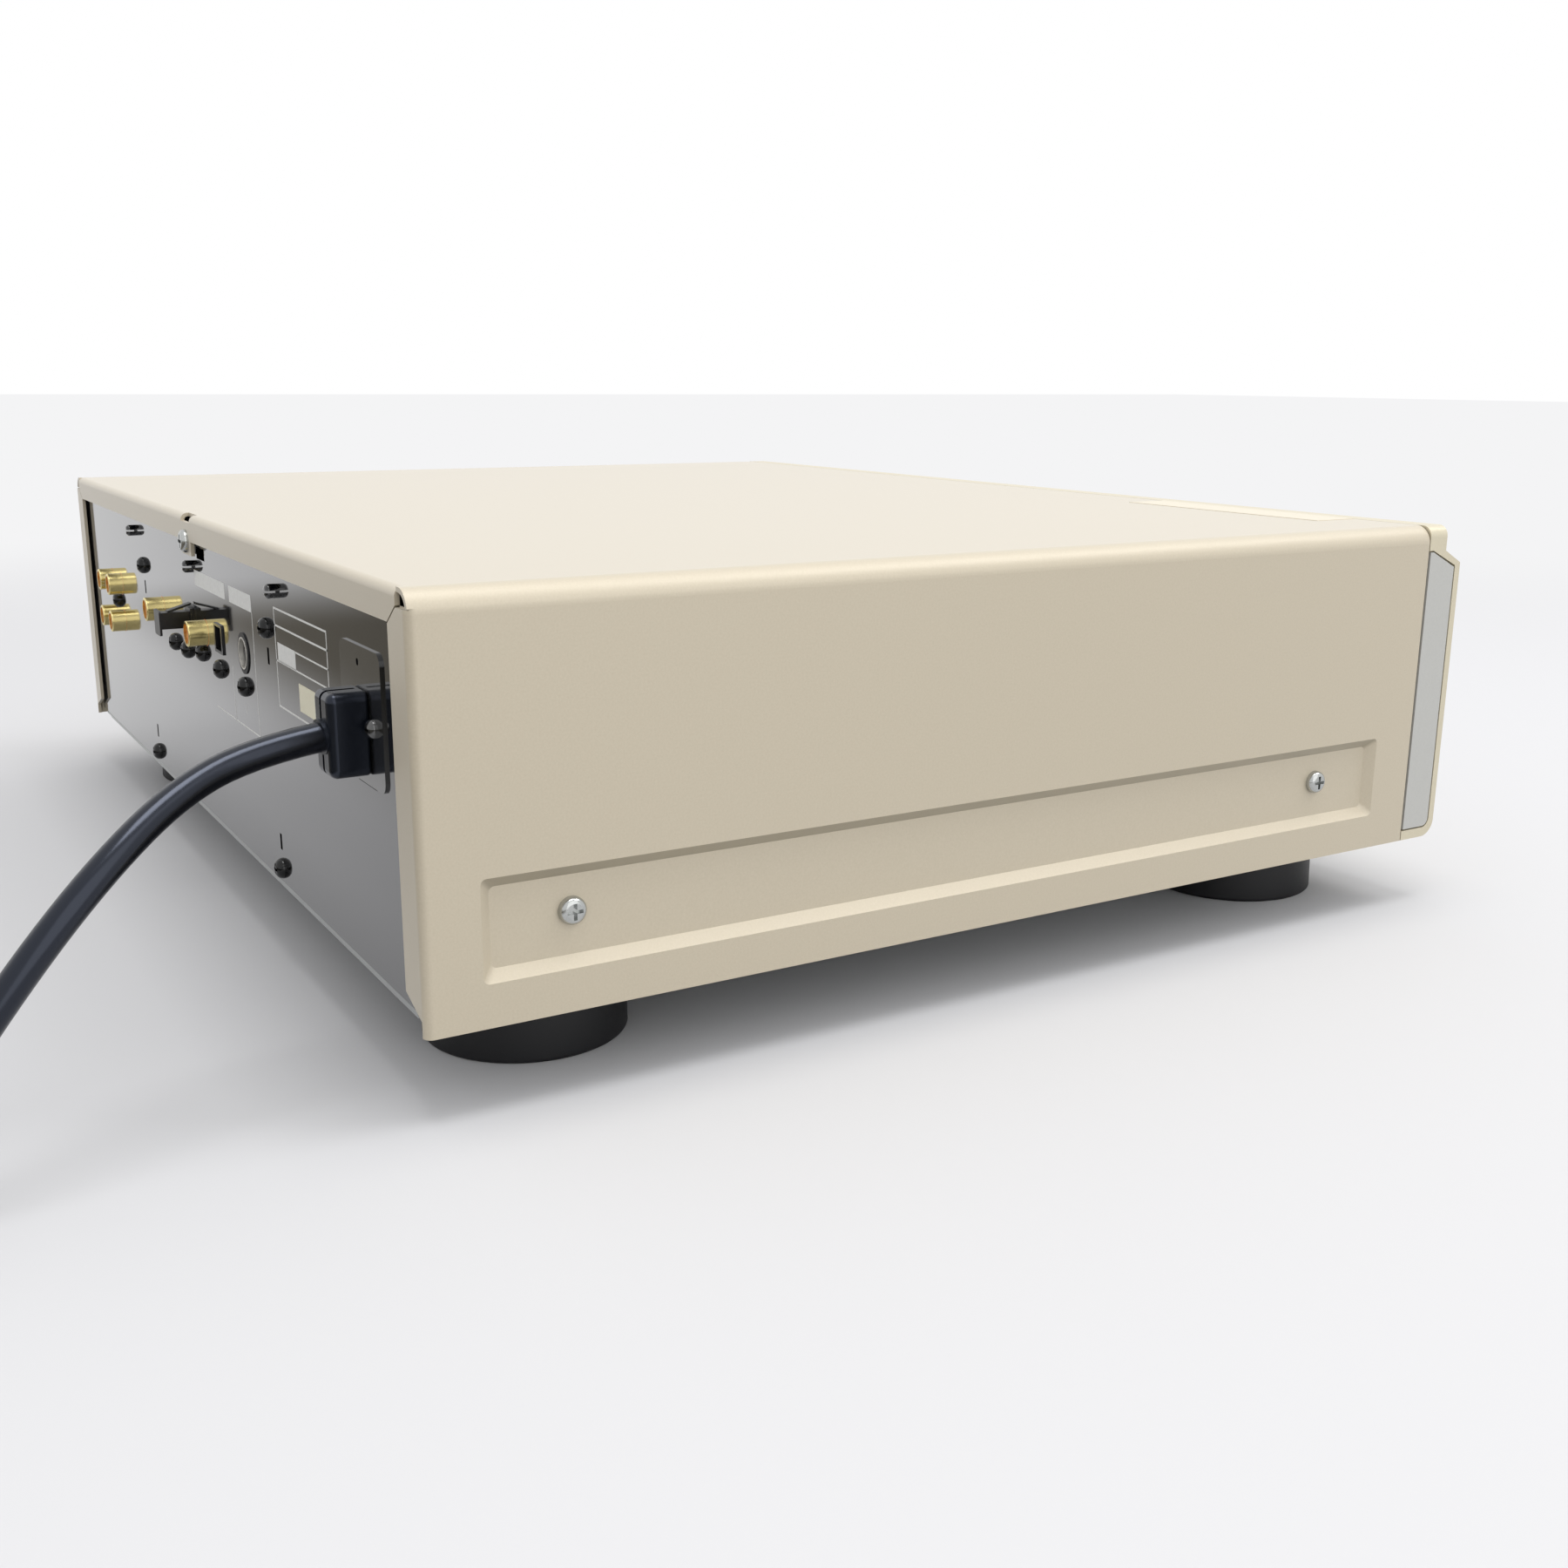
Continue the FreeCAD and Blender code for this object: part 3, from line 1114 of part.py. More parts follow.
def make_cord():
    cord_tube("mains_cord", cord_route)
    cord_tube("cord_tail", cord_tail_route)
    x, y = coil_centre
    section = block((x + coil_radius - coil_half, x + coil_radius + coil_half), (y, y + 1),
                    (coil_low, coil_top))
    section = soften(section, 3.0, Y_AXIS)
    outline = [f for f in section.Faces if abs(f.CenterOfMass.y - y) < 1e-6][0]
    save("cord_coil", outline.revolve(V(x, y, 0), Z_AXIS, 360))
    inner = coil_half + tie_clearance
    low, top = tie_thick, coil_top + tie_clearance
    middle = y - coil_radius
    strap = block(around(x, tie_half_width), around(middle, inner + tie_thick),
                  (0, top + tie_thick))
    strap = soften(strap, 3.0, X_AXIS)
    room = block(around(x, tie_half_width + 1), around(middle, inner), (low, top))
    room = soften(room, 2.2, X_AXIS)
    save("cord_tie", carve(strap, room))


def make_wall_plug():
    x, y, z = cord_tail_route[-1]
    long, wide, tall = wall_plug_size
    body = soften(block((x, x + long), around(y, wide / 2), around(z, tall / 2)), 3.0, X_AXIS)
    blades = [block((x + long - 1, x + long + blade_length),
                    around(y + s * blade_pitch / 2, blade_thick / 2), around(z, blade_wide / 2))
              for s in (-1, 1)]
    save("mains_plug", join(body, *blades))


os.makedirs("parts", exist_ok=True)
cover_screw_z = make_top_cover()
make_bottom_plate()
make_feet()
make_case_screws()
make_front_panel()
make_controls()
make_display_board()
make_phones_jack()
make_disc_flap()
make_front_subframe()
make_mechanism_frame()
make_disc_holder()
make_cam_slider()
make_spindle()
make_pickup()
make_loading_motor()
make_boards()
make_transformer()
make_rear_panel(cover_screw_z)
make_rivets()
make_jacks()
make_optical()
make_keyboard_jack()
make_inlet()
make_labels()
make_cord()
make_wall_plug()
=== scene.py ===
# %% [markdown]
# # Dressing a cartridge disc deck
# The deck's solids come from a CAD model: a folded steel case, a front panel, sockets, knobs and
# the mechanism. They already have the right shapes, so Blender's work here is to give each one
# the finish of the real material, and to add what a solid model leaves out: the ink on the
# panels, the knurling on the knobs and the soft line of the mains cord.

# %% Tools and the frame
import math

import bmesh
import bpy
from mathutils import Matrix, Vector


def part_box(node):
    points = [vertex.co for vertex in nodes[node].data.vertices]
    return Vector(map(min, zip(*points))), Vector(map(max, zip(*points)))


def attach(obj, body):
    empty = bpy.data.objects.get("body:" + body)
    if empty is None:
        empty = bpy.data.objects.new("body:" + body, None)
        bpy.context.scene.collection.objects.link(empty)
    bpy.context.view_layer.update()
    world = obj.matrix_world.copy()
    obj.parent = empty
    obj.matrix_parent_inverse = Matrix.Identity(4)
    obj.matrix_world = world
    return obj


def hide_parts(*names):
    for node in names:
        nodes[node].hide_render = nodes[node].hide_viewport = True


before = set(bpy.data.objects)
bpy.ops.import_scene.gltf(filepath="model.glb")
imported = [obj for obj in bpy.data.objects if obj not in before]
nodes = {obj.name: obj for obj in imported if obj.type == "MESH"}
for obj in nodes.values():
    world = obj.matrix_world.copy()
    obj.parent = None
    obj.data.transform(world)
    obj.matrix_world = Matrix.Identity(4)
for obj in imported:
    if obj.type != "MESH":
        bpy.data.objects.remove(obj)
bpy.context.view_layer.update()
MM = 0.001
rear_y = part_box("rear_panel")[1].y
front_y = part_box("front_panel")[0].y
case_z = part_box("bottom_plate")[0].z


def new_object(name, data):
    """A new object with this data, linked to the scene."""
    made = bpy.data.objects.new(name, data)
    bpy.context.scene.collection.objects.link(made)
    return made


print("nodes:", len(nodes), "rear panel at", round(rear_y, 5), "front at", round(front_y, 5))

# %% [markdown]
# The camera stands low behind the deck's left corner, so the rear sockets and the long left side
# both show. Its turn is built from three numbers, so each can be changed alone: the direction
# round the deck, the height above the horizon, and a small roll.

# %% The camera
camera_place = Vector((-552.83, 289.28, 169.57)) * MM
azimuth, elevation, roll = math.radians(238.594), math.radians(14.032), math.radians(0.4207)
flat_right = Vector((math.cos(azimuth), math.sin(azimuth), 0.0))
ahead = Vector((-math.sin(azimuth), math.cos(azimuth), 0.0)) * math.cos(elevation)
ahead.z = -math.sin(elevation)
level_up = flat_right.cross(ahead)
right = flat_right * math.cos(roll) + level_up * math.sin(roll)
up = level_up * math.cos(roll) - flat_right * math.sin(roll)
camera = new_object("camera", bpy.data.cameras.new("camera"))
camera.data.sensor_width = 36.0
camera.data.lens = 37.64
camera.data.clip_start = 0.01
facing = Matrix((right, up, -ahead)).transposed().to_4x4()
camera.matrix_world = Matrix.Translation(camera_place) @ facing
bpy.context.scene.camera = camera
print("the camera stands", round(camera_place.length, 3), "m from the middle of the deck")

# %% [markdown]
# ## The mains cord
# The real cord is a round PVC lead, a little over 7 mm thick and about a metre and a half long.
# A cord has no corners, so one smooth curve is made, and its points are only hints that the line
# passes near. It leaves the moulded connector level, sinks under its own weight, meets the
# floor, and the spare length is wound into a flat coil, two turns wide and three high.

# %% The cord's route
cord_radius = 3.6 * MM
route = [(-176.2, 186.75, 86.4), (-177.8, 204.0, 84.6), (-185.0, 222.0, 78.5),
         (-196.0, 240.0, 67.0), (-202.5, 258.0, 49.5), (-205.0, 278.0, 24.0),
         (-206.0, 296.0, 8.5), (-206.0, 326.0, 4.6)]
coil_middle = (-163.4, 342.0)
turn_slots = [(42.6, 4.6), (35.4, 4.6), (35.4, 11.8), (42.6, 11.8), (35.4, 19.0), (42.6, 19.0)]
coil_turns = 5.25
steps = 16                                      # curve points in each turn
widen = 1.0 / math.cos(math.pi / steps)         # the curve runs inside its points by this much
change_angle = 60.0                             # the turns change place just past the tie
for step in range(int(coil_turns * steps)):
    turned = step * 360.0 / steps
    radius, height = turn_slots[int((turned + change_angle) // 360.0)]
    angle = math.radians(180.0 - turned)
    route.append((coil_middle[0] + radius * widen * math.cos(angle),
                  coil_middle[1] + radius * widen * math.sin(angle), height))
route += [(-152.0, 384.5, 18.4), (-131.0, 383.5, 14.0), (-109.0, 379.5, 8.6), (-88.0, 379.0, 8.0)]
curve = bpy.data.curves.new("mains_lead", "CURVE")
curve.dimensions = "3D"
spline = curve.splines.new("NURBS")
spline.points.add(len(route) - 1)
for point, place in zip(spline.points, route):
    point.co = (*(Vector(place) * MM), 1.0)
spline.order_u = 3
spline.use_endpoint_u = True
curve.resolution_u = 6
line = new_object("mains_lead", curve)


def evaluated_mesh(thing):
    """The finished mesh of an object whose curve or modifiers are still live."""
    bpy.context.view_layer.update()
    graph = bpy.context.evaluated_depsgraph_get()
    return bpy.data.meshes.new_from_object(thing.evaluated_get(graph))


path = [vertex.co.copy() for vertex in evaluated_mesh(line).vertices]
lead_length = sum((b - a).length for a, b in zip(path, path[1:]))
curve.bevel_depth = cord_radius
curve.bevel_resolution = 5
curve.use_fill_caps = True
print("cord length", round(lead_length, 4))

# %% [markdown]
# ## Colour and finish
# Colours are written as they look on a screen, and one function turns them to the linear values
# that the renderer works with. A second small function adds any node, with its settings and the
# links that feed it, so each material below reads from top to bottom. Three more build on these
# two: an empty material, a mix of two colours, and a mottled finish whose grain has a real size.


# %% Helpers for every material
def tint(code):
    """A screen colour such as "C0FFEE" as linear red, green, blue and alpha."""
    channels = [int(code[i:i + 2], 16) / 255.0 for i in (0, 2, 4)]
    linear = [c / 12.92 if c <= 0.04045 else ((c + 0.055) / 1.055) ** 2.4 for c in channels]
    return (*linear, 1.0)


def add(tree, kind, settings=(), links=()):
    """Adds a node. A setting is one of its inputs or attributes; a link feeds an input."""
    made = tree.nodes.new(kind)
    for name, value in dict(settings).items():
        if isinstance(name, int) or name in made.inputs:
            made.inputs[name].default_value = value
        else:
            setattr(made, name, value)
    for name, source in dict(links).items():
        tree.links.new(source, made.inputs[name])
    return made


def new_material(name, shader_settings):
    """An empty material with its shader, and the tree that it lives in."""
    material = bpy.data.materials.new(name)
    material.use_nodes = True
    tree = material.node_tree
    tree.nodes.clear()
    shader = add(tree, "ShaderNodeBsdfPrincipled", shader_settings)
    add(tree, "ShaderNodeOutputMaterial", links={"Surface": shader.outputs[0]})
    return material, tree, shader


def blend(tree, factor, colours):
    """Two screen colours, mixed by a factor."""
    mix = add(tree, "ShaderNodeMix", {"data_type": "RGBA"}, {"Factor": factor})
    mix.inputs[6].default_value, mix.inputs[7].default_value = map(tint, colours)
    return mix.outputs[2]


def mottle(tree, shader, colours, grain_mm, stretch=(1, 1, 1), bump_mm=0.0, rough=None):
    """Two close colours, a bump and a change of roughness, all from one noise of a real size."""
    place = add(tree, "ShaderNodeTexCoord").outputs["Object"]
    size = [s / (grain_mm * MM) for s in stretch]
    scaled = add(tree, "ShaderNodeMapping", {"Scale": size}, {"Vector": place}).outputs[0]
    noise = add(tree, "ShaderNodeTexNoise", {"Scale": 1.0, "Detail": 3.0, "Roughness": 0.6},
                {"Vector": scaled}).outputs[0]
    tree.links.new(blend(tree, noise, colours), shader.inputs["Base Color"])
    if rough:
        span = add(tree, "ShaderNodeMapRange", {"To Min": rough[0], "To Max": rough[1]},
                   {"Value": noise})
        tree.links.new(span.outputs[0], shader.inputs["Roughness"])
    if bump_mm:
        bump = add(tree, "ShaderNodeBump", {"Strength": 0.6, "Distance": bump_mm * MM},
                   {"Height": noise})
        tree.links.new(bump.outputs[0], shader.inputs["Normal"])


# %% [markdown]
# The cover is steel with a baked champagne enamel. Fine metal flakes in it catch the light, so
# the flat sheet looks alive at a low angle. Flakes are far below a millimetre across; they are
# drawn about half a millimetre wide here, so that they show at all. The flakes make the paint
# partly metallic, and a clear layer on top gives the soft white sheen along the edges.
# A wall that faces down gets a painted shade: a deeper tan that stands in for the shade it is in,
# because it sees only the floor. The Z part of the surface normal says which way each wall faces.

# %% Champagne enamel on steel
champagne_enamel, tree, shader = new_material("champagne_enamel", {
    "Metallic": 0.15, "IOR": 1.5, "Coat Weight": 1.0, "Coat IOR": 1.6, "Coat Roughness": 0.5,
    "Sheen Weight": 0.35, "Sheen Roughness": 0.3})
mottle(tree, shader, ("BBB098", "CABFAA"), 0.55, bump_mm=0.014, rough=(0.45, 0.57))
paint = shader.inputs["Base Color"].links[0].from_socket
normal = add(tree, "ShaderNodeNewGeometry").outputs["Normal"]
upward = add(tree, "ShaderNodeSeparateXYZ", links={0: normal}).outputs["Z"]
# Painted shade: walls whose normal Z is below faces_aside are mixed toward the darker tan A0967F,
# fully so below faces_down, in place of shade from the light.
faces_down, faces_aside = -0.5, -0.15
level = add(tree, "ShaderNodeMapRange", {"From Min": faces_down, "From Max": faces_aside},
            {"Value": upward}).outputs[0]
painted_shade_mix = add(tree, "ShaderNodeMix", {"data_type": "RGBA"}, {"Factor": level})
painted_shade_mix.inputs[6].default_value = tint("A0967F")
tree.links.new(paint, painted_shade_mix.inputs[7])
tree.links.new(painted_shade_mix.outputs[2], shader.inputs["Base Color"])
print("enamel on walls that face up or aside, and a deeper tan below a normal Z of", faces_aside)

# %% [markdown]
# The front panel is anodised aluminium, brushed along its length, so its pattern is stretched
# along X. The brushed lines are drawn coarser than real as well. The buttons are plastic with an
# enamel of the same colour, and the caps at the panel's ends are plain grey plastic.

# %% The front's aluminium, the buttons' enamel and the grey end caps
front_anodised, tree, shader = new_material("front_anodised_aluminium", {"Metallic": 0.45})
mottle(tree, shader, ("CFC6AE", "DAD2BB"), 0.4, stretch=(0.04, 1, 1), bump_mm=0.006,
       rough=(0.34, 0.44))
control_enamel, tree, shader = new_material("control_enamel_on_abs", {"Metallic": 0.3, "IOR": 1.5})
mottle(tree, shader, ("C8BFA6", "D3CBB4"), 0.4, bump_mm=0.006, rough=(0.32, 0.42))
end_cap_abs, tree, shader = new_material("grey_abs", {"IOR": 1.53})
mottle(tree, shader, ("B9B9B5", "C3C3BF"), 0.8, bump_mm=0.01, rough=(0.38, 0.5))
print("materials so far:", len(bpy.data.materials))

# %% [markdown]
# The rear panel is steel with a black, half-gloss coating. It is dark seen square on and turns
# into a mirror at a low angle, so the sockets show twice. A low roughness, a thin clear coat and
# the plain Fresnel effect of both do all of that. The inlet's plate has a paler coating.

# %% Black coated steel
black_coating, tree, shader = new_material("black_coated_steel", {
    "IOR": 1.7, "Coat Weight": 0.55, "Coat Roughness": 0.05})
mottle(tree, shader, ("0A0A0C", "101012"), 6.0, rough=(0.04, 0.08))
inlet_coating, tree, shader = new_material("inlet_plate_coating", {
    "IOR": 1.8, "Coat Weight": 0.6, "Coat Roughness": 0.08})
mottle(tree, shader, ("1A1A1A", "20201F"), 4.0, rough=(0.1, 0.15))
print("materials so far:", len(bpy.data.materials))

# %% [markdown]
# The black plastics differ by how they shine: moulded ABS is dull, a rivet is polished, and the
# soft PVC of the cord and its plugs has a slightly blue gloss. Their moulded grain is drawn half
# a millimetre wide or more, coarser than real, so that it shows.

# %% Black plastics and PVC
foot_abs, tree, shader = new_material("foot_moulded_abs", {"IOR": 1.45})
mottle(tree, shader, ("07070A", "0D0D11"), 0.9, bump_mm=0.02, rough=(0.4, 0.55))
black_abs, tree, shader = new_material("black_moulded_abs", {"IOR": 1.53})
mottle(tree, shader, ("0C0C0D", "151517"), 0.5, bump_mm=0.008, rough=(0.25, 0.38))
polished_abs, tree, shader = new_material("polished_black_abs", {
    "IOR": 1.6, "Coat Weight": 0.5, "Coat Roughness": 0.05})
mottle(tree, shader, ("0A0B0E", "121418"), 0.6, rough=(0.08, 0.14))
cool_gloss = tint("DCE6FF")
cord_pvc, tree, shader = new_material("cord_pvc", {"IOR": 1.55, "Specular Tint": cool_gloss})
mottle(tree, shader, ("040508", "080A0F"), 2.5, bump_mm=0.02, rough=(0.18, 0.24))
plug_pvc, tree, shader = new_material("moulded_plug_pvc", {"IOR": 1.5, "Specular Tint": cool_gloss})
mottle(tree, shader, ("0B0E14", "12161D"), 0.8, bump_mm=0.01, rough=(0.2, 0.28))
turntable_pom, tree, shader = new_material("turntable_acetal", {"IOR": 1.48})
mottle(tree, shader, ("141414", "1E1E1E"), 0.5, rough=(0.3, 0.4))
print("materials so far:", len(bpy.data.materials))

# %% [markdown]
# Bare metals keep the default refraction value, because a metal's colour does that work. What
# tells zinc from nickel or gold is the tint, and what tells plating from rolled sheet is how
# rough it is and which way the fine lines run. Those lines are drawn about half a millimetre
# apart, several times coarser than real.

# %% Metals
zinc_plate, tree, shader = new_material("bright_zinc_plate", {"Metallic": 1.0})
mottle(tree, shader, ("A9ABAA", "C2C4C2"), 0.5, bump_mm=0.005, rough=(0.18, 0.28))
galvanised, tree, shader = new_material("galvanised_sheet", {"Metallic": 1.0})
mottle(tree, shader, ("A9ABAA", "BEC0BE"), 9.0, bump_mm=0.01, rough=(0.34, 0.5))
black_screw, tree, shader = new_material("black_chromate_screw", {"IOR": 1.42})
mottle(tree, shader, ("08090A", "101112"), 0.4, rough=(0.08, 0.13))
gold_plate, tree, shader = new_material("gold_plate", {"Metallic": 1.0})
mottle(tree, shader, ("E0CE8C", "E7D697"), 0.5, rough=(0.24, 0.27))
nickel_plate, tree, shader = new_material("nickel_plate", {"Metallic": 1.0})
mottle(tree, shader, ("DAD7D0", "E6E3DD"), 0.5, rough=(0.42, 0.5))
rolled_steel, tree, shader = new_material("rolled_steel", {"Metallic": 1.0})
mottle(tree, shader, ("A6A6A3", "BDBDBA"), 0.4, stretch=(1, 0.03, 1), bump_mm=0.004,
       rough=(0.28, 0.4))
motor_can, tree, shader = new_material("drawn_motor_can", {"Metallic": 1.0})
mottle(tree, shader, ("9D9E9D", "B4B5B3"), 0.5, stretch=(1, 1, 0.05), rough=(0.25, 0.36))
print("materials so far:", len(bpy.data.materials))

# %% [markdown]
# The knobs are turned from aluminium and anodised. The tool leaves rings on the face, so the
# face shines in two opposite fans. Rings round the knob's own axis need the distance from that
# axis: the Mapping node first moves the axis to the middle of the pattern. The rings are drawn
# 0.3 mm apart, a few times coarser than real.


# %% Turned knobs
def turned_aluminium(name, node):
    """Anodised aluminium with tool rings round the axis of one knob."""
    low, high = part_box(node)
    material, tree, shader = new_material(name, {"Metallic": 0.85})
    place = add(tree, "ShaderNodeTexCoord").outputs["Object"]
    to_axis = (-(low.x + high.x) / 2, 0.0, -(low.z + high.z) / 2)
    centred = add(tree, "ShaderNodeMapping", {"Location": to_axis}, {"Vector": place}).outputs[0]
    flat = add(tree, "ShaderNodeVectorMath", {"operation": "MULTIPLY", 1: (1.0, 0.0, 1.0)},
               {0: centred}).outputs[0]
    away = add(tree, "ShaderNodeVectorMath", {"operation": "LENGTH"}, {0: flat}).outputs["Value"]
    rings = add(tree, "ShaderNodeTexNoise", {
        "noise_dimensions": "1D", "Scale": 1.0 / (0.3 * MM), "Detail": 2.0}, {"W": away}).outputs[0]
    tree.links.new(blend(tree, rings, ("C6BA9C", "D9CFB5")), shader.inputs["Base Color"])
    span = add(tree, "ShaderNodeMapRange", {"To Min": 0.24, "To Max": 0.4}, {"Value": rings})
    tree.links.new(span.outputs[0], shader.inputs["Roughness"])
    bump = add(tree, "ShaderNodeBump", {"Strength": 0.5, "Distance": 0.01 * MM}, {"Height": rings})
    tree.links.new(bump.outputs[0], shader.inputs["Normal"])
    return material


knob_nodes = ("record_level_knob", "jog_knob", "phones_level_knob", "input_knob")
knob_finish = {node: turned_aluminium("turned_" + node, node) for node in knob_nodes}
print("turned knobs:", ", ".join(knob_nodes))

# %% [markdown]
# Smaller finishes: acrylic for the display window, glass for the tube behind it, printed vinyl
# for the stickers, and the boards. A circuit board is lacquer over copper, so its tracks show as
# a lighter net: green on the main board, and black on the display board, where stray light would
# spoil the display. The transformer's core is a stack of thin sheets, drawn as lines half a
# millimetre apart.

# %% Window, stickers, boards and the core
window_acrylic, tree, shader = new_material("smoked_acrylic", {
    "IOR": 1.49, "Transmission Weight": 0.55})
mottle(tree, shader, ("2A2B2E", "303135"), 20.0, rough=(0.03, 0.05))
tube_glass, tree, shader = new_material("display_tube_glass", {"IOR": 1.5})
mottle(tree, shader, ("1C2A2A", "253434"), 3.0, rough=(0.08, 0.14))
phosphor, tree, shader = new_material("unlit_phosphor", {"IOR": 1.6})
mottle(tree, shader, ("7E9A94", "8FA9A2"), 0.4, rough=(0.5, 0.6))
pale_vinyl, tree, shader = new_material("pale_vinyl_sticker", {"IOR": 1.5})
mottle(tree, shader, ("D2C9B4", "DCD4C2"), 2.0, rough=(0.36, 0.44))
cream_vinyl, tree, shader = new_material("cream_vinyl_sticker", {"IOR": 1.5})
mottle(tree, shader, ("E3DDC2", "ECE7D0"), 2.0, rough=(0.4, 0.5))
jack_resin, tree, shader = new_material("orange_jack_resin", {"IOR": 1.53})
mottle(tree, shader, ("D06A22", "DE7E36"), 0.6, rough=(0.3, 0.42))
sleeve_vinyl, tree, shader = new_material("capacitor_sleeve", {"IOR": 1.5})
mottle(tree, shader, ("15203C", "1C2949"), 1.5, rough=(0.2, 0.3))
core_steel, tree, shader = new_material("laminated_core", {"Metallic": 0.7})
mottle(tree, shader, ("3A3632", "6B6660"), 0.5, stretch=(0.02, 1, 0.02), bump_mm=0.08,
       rough=(0.4, 0.55))


def board_lacquer(name, colours, tracks):
    """Lacquered circuit board, with a net of tracks under the lacquer."""
    material, tree, shader = new_material(name, {"IOR": 1.5, "Roughness": 0.35})
    place = add(tree, "ShaderNodeTexCoord").outputs["Object"]
    net = add(tree, "ShaderNodeTexBrick", {
        "Color1": tint(colours[0]), "Color2": tint(colours[1]), "Mortar": tint(tracks),
        "Scale": 1.0, "Mortar Size": 0.4 * MM, "Brick Width": 7 * MM, "Row Height": 2.54 * MM},
        {"Vector": place})
    tree.links.new(net.outputs[0], shader.inputs["Base Color"])
    return material


green_board = board_lacquer("green_board_lacquer", ("1B4A2A", "1F5230"), "3C7A4C")
black_board = board_lacquer("black_board_lacquer", ("141618", "191B1E"), "26292D")
tan_board = board_lacquer("phenolic_board", ("A98553", "B08D5B"), "C9A876")
print("materials so far:", len(bpy.data.materials))

# %% [markdown]
# Each solid now gets its finish. The shapes stay as they are; only the material in each slot is
# exchanged.

# %% Finishes for the solids
finishes = {
    champagne_enamel: ("top_cover",),
    front_anodised: ("front_panel",),
    end_cap_abs: ("end_inserts", "pickup"),
    black_coating: ("rear_panel",),
    inlet_coating: ("inlet_plate", "inlet_screws"),
    foot_abs: ("feet", "keyboard_jack"),
    black_abs: ("optical_sockets", "optical_cap", "mains_inlet", "phones_jack", "cord_tie"),
    polished_abs: ("snap_rivets",),
    plug_pvc: ("cord_connector", "mains_plug"),
    cord_pvc: ("mains_cord", "cord_coil", "cord_tail"),
    galvanised: ("bottom_plate", "front_subframe", "mechanism_frame"),
    zinc_plate: ("foot_screws", "side_screws", "cover_screw"),
    black_screw: ("rear_screws",),
    gold_plate: ("line_jacks", "coax_jacks"),
    nickel_plate: ("jack_shield", "jog_shaft"),
    jack_resin: ("jack_insulators",),
    pale_vinyl: ("top_label",),
    cream_vinyl: ("serial_label",),
    control_enamel: ("power_button", "eject_button", "play_button", "pause_button", "stop_button",
                     "record_button", "timer_switch", "disc_flap"),
    window_acrylic: ("display_window",),
    tube_glass: ("display_tube",),
    green_board: ("main_board",),
    black_board: ("display_board",),
    tan_board: ("power_board",),
    rolled_steel: ("disc_holder", "cam_slider", "lead_screw", "guide_rods"),
    turntable_pom: ("spindle",),
    motor_can: ("spindle_motor", "loading_motor"),
    core_steel: ("transformer",),
    sleeve_vinyl: ("capacitors",),
}
for material, names in finishes.items():
    for name in names:
        for material_slot in nodes[name].material_slots:
            material_slot.material = material
for name, material in knob_finish.items():
    for material_slot in nodes[name].material_slots:
        material_slot.material = material
left_over = set(nodes) - {name for names in finishes.values() for name in names} - set(knob_finish)
print("nodes without a finish:", sorted(left_over))

# %% [markdown]
# Where the cord enters its wall plug, a ribbed sleeve keeps it from bending sharply. The sleeve is
# round, so a short profile is turned about the cord's last stretch: each point of the profile
# becomes a ring, and neighbouring rings are joined by faces.

# %% The profile of the strain relief
relief_length, rings, sides = 22 * MM, 12, 24
root_radius, neck_radius, narrowing, tip_radius = 5.6, 5.4, 1.3, 3.7
ridge_share, ridge_slope, groove, groove_slope = 0.6, 0.06, 0.5, 0.55
profile = [(0.0, root_radius)]                  # share of the length, radius in mm
for ring in range(rings):
    start, end = ring / rings, (ring + ridge_share) / rings
    taper = neck_radius - narrowing * start
    profile += [(start + 0.01, taper), (end, taper - ridge_slope),
                (end + 0.005, taper - groove), ((ring + 1) / rings, taper - groove_slope)]
profile.append((1.0, tip_radius))
print("strain relief:", len(profile), "rings of", sides, "points")

# %% The strain relief, turned along the cord's end
plug_start = Vector(route[-1]) * MM
backwards = (path[-2] - path[-1]).normalized()
side_way = backwards.cross(Vector((0, 0, 1))).normalized()
high_way = side_way.cross(backwards)
angles = [2 * math.pi * n / sides for n in range(sides)]
sleeve = bmesh.new()
loops = []
for along, size in profile:
    middle = plug_start + backwards * along * relief_length
    outward = [side_way * math.cos(a) + high_way * math.sin(a) for a in angles]
    loops.append([sleeve.verts.new(middle + way * size * MM) for way in outward])
for near, far in zip(loops, loops[1:]):
    for n in range(sides):
        sleeve.faces.new((near[n], near[(n + 1) % sides], far[(n + 1) % sides], far[n]))
sleeve.faces.new(loops[0])
sleeve.faces.new(loops[-1])
bmesh.ops.recalc_face_normals(sleeve, faces=sleeve.faces)
relief_mesh = bpy.data.meshes.new("plug_strain_relief")
sleeve.to_mesh(relief_mesh)
relief_mesh.materials.append(plug_pvc)
relief = new_object("plug_strain_relief", relief_mesh)
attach(relief, "chassis")

# %% [markdown]
# The cord takes the PVC finish. It replaces the three solids that stood for its run, its coil
# and its tail, and it rides with the case; its length was measured along the curve above.

# %% What the cord is
curve.materials.append(cord_pvc)
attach(line, "chassis")
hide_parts("mains_cord", "cord_coil", "cord_tail")
print("declared as a cord, with a coil of", coil_turns, "turns")

# %% [markdown]
# ## Ink on the rear panel
# The rear panel carries printed frames round its groups of sockets. Ink is a real layer, a few
# hundredths of a millimetre thick, so each line is a very thin bar. The print has worn to a
# pale grey. One mesh holds all the bars.


# %% Bars and frames of ink
def printed_piece(name, ink, material):
    """Turns a bmesh of ink into a piece that stays with the case."""
    mesh = bpy.data.meshes.new(name)
    ink.to_mesh(mesh)
    mesh.materials.append(material)
    piece = new_object(name, mesh)
    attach(piece, "chassis")
    print(name, "has", len(mesh.polygons), "faces")


